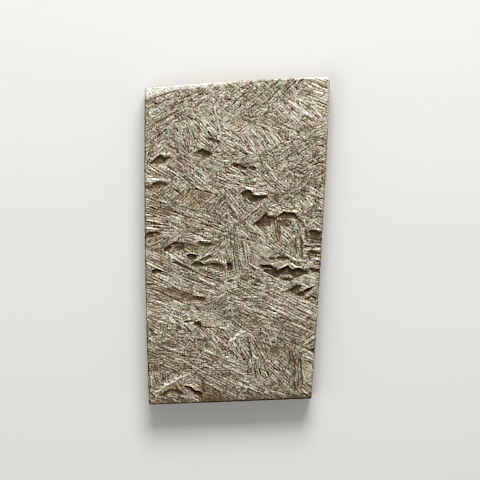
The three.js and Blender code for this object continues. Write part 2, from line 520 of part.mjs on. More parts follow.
// A closed triangle mesh that can lose short edges and turn thin triangles
class TidyMesh {
  constructor(points, triangles) {
    this.points = points;
    this.triangles = triangles;
    this.around = points.map(() => new Set());
    triangles.forEach((triangle, index) => this.enter(triangle, index));
  }

  // Notes a triangle at each of its corners, or takes it off their lists
  enter(triangle, index) {
    triangle.forEach((corner) => this.around[corner].add(index));
  }

  leave(triangle, index) {
    triangle.forEach((corner) => this.around[corner].delete(index));
  }

  neighbours(corner) {
    const found = new Set();
    this.around[corner].forEach((index) => this.triangles[index].forEach((other) => found.add(other)));
    found.delete(corner);
    return found;
  }

  // Twice the area of a triangle as a vector along its outward normal
  normal([a, b, c]) {
    const ab = new THREE.Vector3().subVectors(this.points[b], this.points[a]);
    const ac = new THREE.Vector3().subVectors(this.points[c], this.points[a]);
    return ab.cross(ac);
  }

  // The height of a triangle over its longest edge
  thickness([a, b, c]) {
    const longest = Math.max(
      this.points[a].distanceTo(this.points[b]),
      this.points[b].distanceTo(this.points[c]),
      this.points[c].distanceTo(this.points[a]),
    );
    return this.normal([a, b, c]).length() / longest;
  }

  // Moves corner "from" onto corner "to", where the surface stays closed and nothing folds over
  collapse(from, to) {
    const near = this.neighbours(to);
    const shared = [...this.neighbours(from)].filter((corner) => near.has(corner));
    if (shared.length !== 2) {
      return false;
    }
    const moving = [...this.around[from]].filter((index) => !this.triangles[index].includes(to));
    const folds = moving.some((index) => {
      const before = this.triangles[index];
      const after = before.map((corner) => (corner === from ? to : corner));
      const thin = this.thickness(before) < thinTriangle;
      return !thin && this.normal(before).dot(this.normal(after)) <= 0;
    });
    if (folds) {
      return false;
    }
    this.around[from].forEach((index) => {
      const triangle = this.triangles[index];
      this.leave(triangle, index);
      if (triangle.includes(to)) {
        this.triangles[index] = null;
        return;
      }
      this.triangles[index] = triangle.map((corner) => (corner === from ? to : corner));
      this.enter(this.triangles[index], index);
    });
    return true;
  }

  // Swaps the edge from a to b for the edge between the two corners across it
  flip(a, b) {
    const sides = [...this.around[a]].filter((index) => this.triangles[index].includes(b));
    const offEdge = (corner) => corner !== a && corner !== b;
    const [c, d] = sides.map((index) => this.triangles[index].find(offEdge));
    if (sides.length !== 2 || this.neighbours(c).has(d)) {
      return false;
    }
    const first = this.triangles[sides[0]].map((corner) => (corner === b ? d : corner));
    const second = this.triangles[sides[0]].map((corner) => (corner === a ? d : corner));
    const facing = this.normal(this.triangles[sides[1]]).add(this.normal(this.triangles[sides[0]]));
    const worse = Math.min(this.thickness(first), this.thickness(second)) < thinTriangle;
    if (worse || this.normal(first).dot(facing) <= 0 || this.normal(second).dot(facing) <= 0) {
      return false;
    }
    sides.forEach((index) => this.leave(this.triangles[index], index));
    this.triangles[sides[0]] = first;
    this.triangles[sides[1]] = second;
    sides.forEach((index) => this.enter(this.triangles[index], index));
    return true;
  }

  // One pass over all triangles. Of two corners, the one on a flat face keeps its place.
  pass() {
    let changes = 0;
    for (let index = 0; index < this.triangles.length; index += 1) {
      const triangle = this.triangles[index];
      if (triangle === null) {
        continue;
      }
      const edges = triangle.map((corner, i) => {
        const next = triangle[(i + 1) % 3];
        return { corner, next, length: this.points[corner].distanceTo(this.points[next]) };
      });
      edges.sort((one, other) => one.length - other.length);
      const [shortest, , longest] = edges;
      const thin = this.thickness(triangle) < thinTriangle;
      if (thin && shortest.length >= shortEdge && this.flip(longest.corner, longest.next)) {
        changes += 1;
      } else if (thin || shortest.length < shortEdge) {
        const keepFirst = offFace(this.points[shortest.corner]) <= offFace(this.points[shortest.next]);
        const [to, from] = keepFirst ? [shortest.corner, shortest.next] : [shortest.next, shortest.corner];
        changes += this.collapse(from, to) || this.collapse(to, from) ? 1 : 0;
      }
    }
    return changes;
  }
}

// Takes out the slivers that are left where lines cross, and gives back the vertex lists
function tidySurface(mesh) {
  const points = [];
  for (let i = 0; i < mesh.vertProperties.length; i += 3) {
    points.push(new THREE.Vector3().fromArray(mesh.vertProperties, i));
  }
  const triangles = [];
  for (let i = 0; i < mesh.triVerts.length; i += 3) {
    triangles.push([...mesh.triVerts.slice(i, i + 3)]);
  }
  const tidy = new TidyMesh(points, triangles);
  let passes = 0;
  while (passes < mostPasses && tidy.pass() > 0) {
    passes += 1;
  }
  const kept = tidy.triangles.filter((triangle) => triangle !== null);
  return { places: points.flatMap((point) => point.toArray()), corners: kept.flat() };
}

// The solid as a mesh, with the origin under the middle of its box. The bows, rounds and
// ridges change the box by a hair, so it is brought back to the driving sizes.
function sliceGeometry() {
  const surface = tidySurface(sliceSolid().getMesh());
  const indexed = new THREE.BufferGeometry();
  indexed.setAttribute('position', new THREE.Float32BufferAttribute(surface.places, 3));
  indexed.setIndex(surface.corners);
  const geometry = mergeVertices(indexed.toNonIndexed(), surfaceWeld);
  geometry.computeBoundingBox();
  const box = geometry.boundingBox;
  const size = box.getSize(new THREE.Vector3());
  geometry.translate(-(box.min.x + box.max.x) / 2, -(box.min.y + box.max.y) / 2, -box.min.z);
  geometry.scale(sliceWidth / size.x, sliceLength / size.y, sliceThickness / size.z);
  geometry.computeVertexNormals();
  return geometry;
}

const etchedIron = new THREE.MeshStandardMaterial({
  color: 0x938875,
  roughness: 0.42,
  metalness: 0.9,
});

const slice = new THREE.Mesh(sliceGeometry(), etchedIron);
slice.name = 'meteorite_slice';

const meteorite = new THREE.Group();
meteorite.add(slice);

export default meteorite;
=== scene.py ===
"""Iron meteorite slice: an etched, sawn plate of nickel-iron, seen from straight above.

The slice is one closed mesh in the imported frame. Its relief is drawn in numpy from a list of
the pits, furrows and ridges that show, with packets of fine hatch lines between them, and a
Geometry Nodes tree then raises the finest lamellae. Both materials read the same lamella
field, so the colour follows the relief. Lengths are in millimetres until the mesh is made.
"""

import math
from typing import NamedTuple

import bpy
import numpy as np
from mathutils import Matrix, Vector


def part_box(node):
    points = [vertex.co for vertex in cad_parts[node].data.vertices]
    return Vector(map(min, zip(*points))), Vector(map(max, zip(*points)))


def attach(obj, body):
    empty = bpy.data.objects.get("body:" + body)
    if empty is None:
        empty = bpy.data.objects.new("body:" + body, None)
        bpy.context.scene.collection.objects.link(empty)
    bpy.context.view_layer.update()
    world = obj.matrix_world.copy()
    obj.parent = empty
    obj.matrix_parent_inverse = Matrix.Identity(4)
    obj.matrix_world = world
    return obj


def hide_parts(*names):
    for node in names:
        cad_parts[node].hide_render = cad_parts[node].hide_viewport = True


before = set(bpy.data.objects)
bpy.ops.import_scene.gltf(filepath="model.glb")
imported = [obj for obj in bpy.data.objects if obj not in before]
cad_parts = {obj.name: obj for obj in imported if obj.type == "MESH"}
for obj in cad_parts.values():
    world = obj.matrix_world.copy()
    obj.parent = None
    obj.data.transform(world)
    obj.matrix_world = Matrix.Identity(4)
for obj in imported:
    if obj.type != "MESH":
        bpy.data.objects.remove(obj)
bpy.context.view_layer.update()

MM = 0.001
SEED = 20417

# The slice's box, from the frame
LOW, HIGH = (np.array(corner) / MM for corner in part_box("meteorite_slice"))
WIDTH, LENGTH, THICKNESS = HIGH - LOW

# The outline: how far each corner is from the box's corner, and how each side bows
TOP_LEFT_DROP = 1.05
TOP_LEFT_INSET = 0.06
BOTTOM_LEFT_INSET = 0.44
BOTTOM_RIGHT_INSET = 1.74
BOTTOM_RIGHT_RISE = 0.57
TOP_BOW = 0.12
LEFT_BOW = 0.2
RIGHT_BOW = 0.14
BOTTOM_BOW = 0.02
SHARP_CORNER = 0.18
WORN_CORNER = 0.5

# Mesh steps
FRONT_CELL = 0.092
EDGE_STEPS = [0.03, 0.04, 0.05, 0.06, 0.075]
SIDE_ROWS = 9

# The rounding of the edges, and the room between the land and the box's top, for the ridges
EDGE_ROUND = 0.2
RIDGE_ROOM = 0.1

# The light comes from the top end, so the lit or shaded flank of a line or a hollow shows a
# little above its middle. They are cut this much lower, so that they show where they are listed.
LINE_DROP = 0.04
LINE_DROP_SHARE = 0.1
HOLLOW_DROP = 0.05

# A line of this height is marked in full. Ridges are brightened, partly for their brighter
# metal and partly with a painted highlight, and furrows darkened, partly for their oxide and
# partly with painted shade. Furrows are cut and darkened less than ridges are raised and
# brightened, but those that run down the slice get more painted shade, as no light shades them.
FULL_MARK_HEIGHT = 0.08
FURROW_DEPTH = 0.88
FURROW_DARK = 0.53
UPRIGHT_FURROW_DARK = 0.32

# Hollows shallower than this are stains with soft borders. All outlines waver a little.
SHALLOW_DEPTH = 0.1
HOLLOW_WAVER = 0.035
WAVER_SIZE = 0.21

# The sides' wear fades out at this distance from them, and their notches lean by this much
SIDE_WEAR_REACH = 0.7
NOTCH_LEAN = 0.25

# Squares along each side of a noise's table of random values
NOISE_CELLS = 64

# The finest lamellae: their width and shortest and longest length in metres, and the share of
# the width that the groove at each side takes
LAMELLA_SIZES = {"width": 0.21 * MM, "shortest": 0.32 * MM, "longest": 1.35 * MM, "groove": 0.26}


class Hollow(NamedTuple):
    """A hollow or a stain: its outline, depth, share of rust and share of dark."""

    outline: list
    depth: float
    rust: float
    dark: float


class Line(NamedTuple):
    """A ridge between two places, or a furrow where its height is below 0."""

    x1: float
    y1: float
    x2: float
    y2: float
    breadth: float
    height: float


class Zone(NamedTuple):
    """An ellipse whose lamellae share a lay.

    Turn is the lay's angle in degrees, and cross the angle from it to the lay that crosses it.
    Needles is how long and unbroken the lamellae are. Depth and tone are the etch's and the
    brightness; the tone is a painted sheen, how brightly each field's crystals catch the light.
    """

    x: float
    y: float
    along: float
    across: float
    turn: float
    tone: float = 0.0
    depth: float = 1.0
    needles: float = 0.35
    cross: float = 70.0


# Hollows of the front face: their outlines, and how deep, rusty and dark each is
FRONT_HOLLOWS = [
    Hollow([(-8.1, 7.2), (-7.75, 7.45), (-7.3, 7.87), (-7.0, 7.95), (-6.85, 7.76), (-6.3, 7.77),
            (-6.2, 7.65), (-6.6, 7.48), (-6.8, 7.25), (-7.2, 7.2), (-7.6, 7.2)], 0.34, 0.3, 0.97),
    Hollow([(-4.0, 8.05), (-3.75, 8.3), (-3.3, 8.5), (-3.0, 8.42), (-2.6, 8.2), (-2.3, 8.15),
            (-2.4, 8.0), (-2.6, 7.9), (-2.8, 7.7), (-3.1, 7.85), (-3.3, 8.05),
            (-3.6, 8.1)], 0.36, 0.7, 0.82),
    Hollow([(-2.95, 9.57), (-2.5, 9.52), (-1.9, 9.35), (-1.55, 9.2), (-1.7, 9.03), (-2.1, 9.13),
            (-2.6, 9.33)], 0.24, 0.3, 0.6),
    Hollow([(-7.95, 5.17), (-7.7, 5.37), (-7.2, 5.47), (-6.7, 5.37), (-6.45, 5.22), (-6.6, 5.07),
            (-7.0, 4.95), (-7.5, 4.95), (-7.9, 5.02)], 0.32, 0.8, 0.46),
    Hollow([(-8.55, 5.02), (-7.9, 5.03), (-7.5, 4.95), (-7.9, 4.86), (-8.5, 4.82)], 0.2, 0.5, 0.36),
    Hollow([(-0.45, 7.15), (0.0, 7.12), (0.5, 6.92), (0.85, 6.8), (0.8, 6.62), (0.4, 6.72),
            (-0.1, 6.93)], 0.3, 0.0, 1.2),
    Hollow([(1.05, 6.85), (1.6, 6.83), (1.72, 6.72), (1.5, 6.58), (1.15, 6.68)], 0.28, 0.0, 1.2),
    Hollow([(0.3, 4.4), (0.6, 4.55), (1.0, 4.63), (1.3, 4.55), (1.4, 4.3), (1.8, 4.15), (2.3, 4.1),
            (2.8, 4.15), (2.6, 4.0), (2.2, 3.83), (1.8, 3.7), (1.25, 3.65), (1.1, 3.9),
            (0.95, 4.12), (0.6, 4.2)], 0.36, 0.4, 1.0),
    Hollow([(1.5, 1.55), (1.9, 1.8), (2.2, 2.05), (2.42, 2.34), (2.6, 2.55), (2.8, 2.32),
            (3.1, 2.2), (3.5, 2.2), (3.6, 2.0), (3.15, 1.85), (3.05, 1.5), (2.5, 1.4),
            (2.0, 1.42)], 0.32, 0.8, 1.0),
    Hollow([(3.65, 2.22), (4.0, 2.5), (4.35, 2.67), (4.6, 2.53), (5.0, 2.62), (5.4, 2.5),
            (5.55, 2.25), (5.62, 2.0), (5.2, 2.1), (4.8, 2.13), (4.4, 2.13), (4.0, 2.18)], 0.34, 0.4, 1.05),
    Hollow([(5.6, 2.05), (6.0, 1.85), (6.2, 1.45), (6.28, 1.15), (6.1, 1.25), (5.8, 1.65)], 0.2, 0.3, 0.34),
    Hollow([(3.75, 1.88), (4.05, 1.82), (3.9, 1.7)], 0.16, 0.2, 1.0),
    Hollow([(4.05, 1.55), (4.5, 1.5), (4.9, 1.5), (4.7, 1.35), (4.2, 1.35)], 0.16, 0.1, 0.85),
    Hollow([(6.55, 0.85), (6.9, 1.02), (7.3, 0.92), (7.6, 0.78), (7.95, 0.8), (7.95, 0.45),
            (7.4, 0.3), (6.95, 0.55)], 0.34, 0.1, 1.02),
    Hollow([(6.75, 0.22), (7.2, 0.3), (7.6, 0.18), (7.95, 0.2), (7.95, -0.02), (7.4, 0.02),
            (7.0, 0.05)], 0.18, 0.1, 0.9),
    Hollow([(6.6, -0.95), (7.0, -0.92), (7.5, -1.08), (7.8, -1.25), (7.75, -1.5), (7.3, -1.42),
            (6.9, -1.22)], 0.2, 0.1, 0.7),
    Hollow([(-8.6, 0.55), (-8.3, 0.75), (-7.9, 0.82), (-7.5, 0.88), (-7.1, 0.78), (-7.3, 0.6),
            (-7.7, 0.48), (-8.1, 0.35), (-8.55, 0.2)], 0.3, 0.6, 0.95),
    Hollow([(-6.3, -0.6), (-6.0, -0.2), (-5.0, -0.2), (-4.1, -0.45), (-4.7, -0.75),
            (-5.6, -0.8)], 0.08, 0.6, 0.55),
    Hollow([(-6.82, -0.98), (-6.65, -0.7), (-6.2, -0.45), (-6.1, -0.62), (-6.4, -0.87)], 0.3, 0.3, 1.0),
    Hollow([(-6.1, -0.35), (-5.8, -0.1), (-5.3, -0.15), (-4.9, -0.22), (-4.95, -0.42), (-5.4, -0.35),
            (-5.8, -0.38)], 0.3, 0.3, 0.78),
    Hollow([(-5.8, -0.55), (-5.3, -0.42), (-4.9, -0.47), (-4.95, -0.7), (-5.4, -0.8)], 0.3, 0.3, 1.3),
    Hollow([(-4.95, -0.25), (-4.5, -0.27), (-4.02, -0.42), (-4.2, -0.56), (-4.6, -0.54)], 0.2, 0.3, 0.3),
    Hollow([(-3.7, -0.16), (-3.2, -0.17), (-2.9, -0.24), (-2.45, -0.2), (-2.45, -0.45), (-2.9, -0.5),
            (-3.3, -0.38)], 0.28, 0.2, 0.84),
    Hollow([(-4.62, -1.3), (-4.3, -1.18), (-4.0, -1.3), (-3.6, -1.35), (-3.9, -1.6), (-4.1, -1.77),
            (-4.45, -1.7)], 0.34, 0.3, 0.95),
    Hollow([(-4.15, -2.15), (-3.9, -1.97), (-3.5, -1.92), (-3.3, -2.08), (-3.05, -2.25),
            (-3.5, -2.32), (-3.9, -2.27)], 0.26, 0.1, 1.05),
    Hollow([(-3.35, -1.78), (-2.95, -1.53), (-2.45, -1.36), (-2.3, -1.5), (-2.7, -1.62),
            (-3.1, -1.85)], 0.2, 0.1, 0.56),
    Hollow([(-2.95, -2.12), (-2.5, -2.02), (-2.0, -2.04), (-1.5, -2.15), (-1.2, -2.38),
            (-1.45, -2.58), (-1.9, -2.52), (-2.4, -2.38), (-2.8, -2.27)], 0.28, 0.7, 0.8),
    Hollow([(-0.95, -2.08), (-0.6, -2.0), (-0.48, -2.6), (-0.8, -2.7)], 0.36, 0.0, 1.3),
    Hollow([(-7.85, -2.72), (-7.6, -2.66), (-7.2, -2.78), (-6.9, -2.86), (-7.3, -2.88),
            (-7.6, -2.98), (-7.8, -2.88)], 0.32, 0.0, 1.45),
    Hollow([(-6.9, -4.4), (-6.2, -4.4), (-5.5, -4.48), (-5.0, -4.65), (-4.3, -4.9), (-3.6, -5.12),
            (-3.0, -5.25), (-2.85, -5.45), (-3.3, -5.6), (-3.9, -5.55), (-4.6, -5.5), (-5.1, -5.3),
            (-5.7, -5.0), (-6.3, -4.75)], 0.12, 0.55, 0.5),
    Hollow([(-4.25, -5.05), (-3.6, -5.2), (-3.0, -5.3), (-2.88, -5.45), (-3.3, -5.57),
            (-3.9, -5.48)], 0.14, 0.5, 0.4),
    Hollow([(2.1, -2.25), (2.5, -2.28), (3.1, -2.28), (3.5, -2.5), (3.7, -2.75), (4.1, -2.55),
            (4.4, -2.45), (4.7, -2.33), (5.0, -2.65), (5.3, -2.65), (5.7, -2.52), (6.1, -2.75),
            (6.55, -2.8), (6.5, -3.02), (6.0, -3.07), (5.6, -3.3), (5.3, -3.32), (5.0, -3.07),
            (4.3, -3.02), (3.9, -3.12), (3.6, -3.32), (3.3, -3.22), (3.0, -3.02), (2.4, -2.77),
            (2.8, -2.6), (2.3, -2.45)], 0.36, 0.5, 1.28),
    Hollow([(2.9, -1.6), (3.2, -1.54), (3.5, -1.6), (3.4, -1.76), (3.0, -1.78)], 0.18, 0.2, 0.64),
    Hollow([(3.75, -1.55), (4.3, -1.48), (4.85, -1.55), (4.7, -1.73), (4.1, -1.73),
            (3.8, -1.7)], 0.22, 0.2, 1.0),
    Hollow([(3.7, 2.0), (4.3, 2.02), (5.0, 1.98), (5.3, 1.75), (4.8, 1.5), (4.1, 1.4),
            (3.75, 1.55)], 0.07, 0.5, 0.65),
    Hollow([(3.3, 2.2), (3.6, 2.2), (3.85, 1.0), (3.8, -0.2), (3.55, -0.3), (3.5, 0.9)], 0.05, 0.5, 0.3),
    Hollow([(4.9, 0.15), (5.4, 0.2), (5.45, -1.0), (5.1, -0.7)], 0.04, 0.3, 0.42),
    Hollow([(2.8, 4.5), (3.3, 4.55), (3.9, 4.3), (3.6, 4.05), (3.0, 4.1)], 0.08, 0.4, 0.64),
    Hollow([(2.9, -9.8), (3.5, -9.75), (4.0, -10.1), (3.7, -10.5), (3.0, -10.7),
            (2.75, -10.2)], 0.06, 0.4, 0.32),
    Hollow([(-7.9, 3.1), (-7.0, 3.15), (-6.2, 2.9), (-6.3, 2.65), (-7.2, 2.7)], 0.07, 0.9, 0.22),
    Hollow([(4.0, -3.4), (4.6, -3.45), (5.12, -3.5), (4.9, -3.68), (4.3, -3.6)], 0.24, 0.0, 1.02),
    Hollow([(6.72, -2.48), (7.0, -2.6), (7.75, -2.65), (7.75, -2.87), (7.2, -2.87),
            (6.9, -2.87)], 0.28, 0.2, 1.1),
    Hollow([(4.1, -4.72), (4.6, -4.65), (5.0, -4.45), (5.1, -4.3), (5.5, -4.1), (5.97, -4.1),
            (5.8, -4.35), (5.6, -4.7), (5.3, -4.87), (4.9, -4.72)], 0.34, 0.5, 1.0),
    Hollow([(5.38, -5.0), (5.7, -4.8), (6.1, -4.7), (6.5, -4.45), (6.97, -4.3), (6.62, -4.65),
            (6.33, -4.77), (6.1, -5.07), (5.8, -5.07)], 0.3, 0.1, 1.05),
    Hollow([(6.28, -5.42), (6.6, -5.2), (6.8, -5.1), (7.1, -5.13), (7.35, -5.37), (7.2, -5.5),
            (6.9, -5.27), (6.6, -5.47)], 0.24, 0.3, 0.74),
    Hollow([(-4.05, -7.7), (-3.7, -7.55), (-3.55, -7.38), (-3.4, -7.7), (-3.2, -7.95),
            (-3.5, -7.97), (-3.8, -7.8)], 0.3, 0.0, 1.1),
    Hollow([(6.65, -10.1), (7.1, -9.97), (7.32, -9.98), (7.32, -10.27), (7.0, -10.22)], 0.28, 0.1, 1.35),
    Hollow([(-6.95, -14.3), (-6.78, -13.98), (-6.4, -13.82), (-6.0, -13.75), (-5.5, -13.8),
            (-5.1, -14.0), (-5.0, -14.2), (-5.4, -14.17), (-5.8, -14.1), (-6.3, -14.05),
            (-6.6, -14.15), (-6.75, -14.4)], 0.24, 0.3, 0.95),
    Hollow([(-6.5, -13.6), (-6.1, -13.35), (-5.5, -13.25), (-4.95, -13.4), (-4.9, -13.65),
            (-5.4, -13.75), (-6.1, -13.72)], 0.08, 0.75, 0.3),
    Hollow([(-4.95, -13.43), (-4.5, -13.48), (-4.1, -13.7), (-3.9, -13.93), (-3.5, -13.93),
            (-3.28, -14.1), (-3.28, -14.55), (-3.5, -14.32), (-3.9, -14.17), (-4.2, -13.92),
            (-4.6, -13.72)], 0.26, 0.3, 1.0),
    Hollow([(-5.1, 4.55), (-4.4, 4.85), (-3.5, 4.8), (-2.3, 4.4), (-2.6, 4.0), (-3.6, 2.95),
            (-4.2, 3.4), (-5.0, 3.9)], 0.05, 0.15, 0.1),
    Hollow([(-0.6, 10.9), (0.6, 11.5), (1.0, 11.1), (0.2, 10.2), (-0.6, 10.2)], 0.04, 0.05, 0.0),
    Hollow([(-3.3, -12.9), (-3.0, -12.9), (-2.7, -13.8), (-1.9, -13.9), (-1.2, -14.2),
            (-1.4, -15.0), (-3.2, -15.1)], 0.05, 0.45, 0.28),
    Hollow([(-3.5, -7.4), (-2.8, -7.3), (-1.9, -7.6), (-1.2, -7.9), (-2.0, -7.95),
            (-3.2, -7.95)], 0.03, 0.15, 0.0),
]

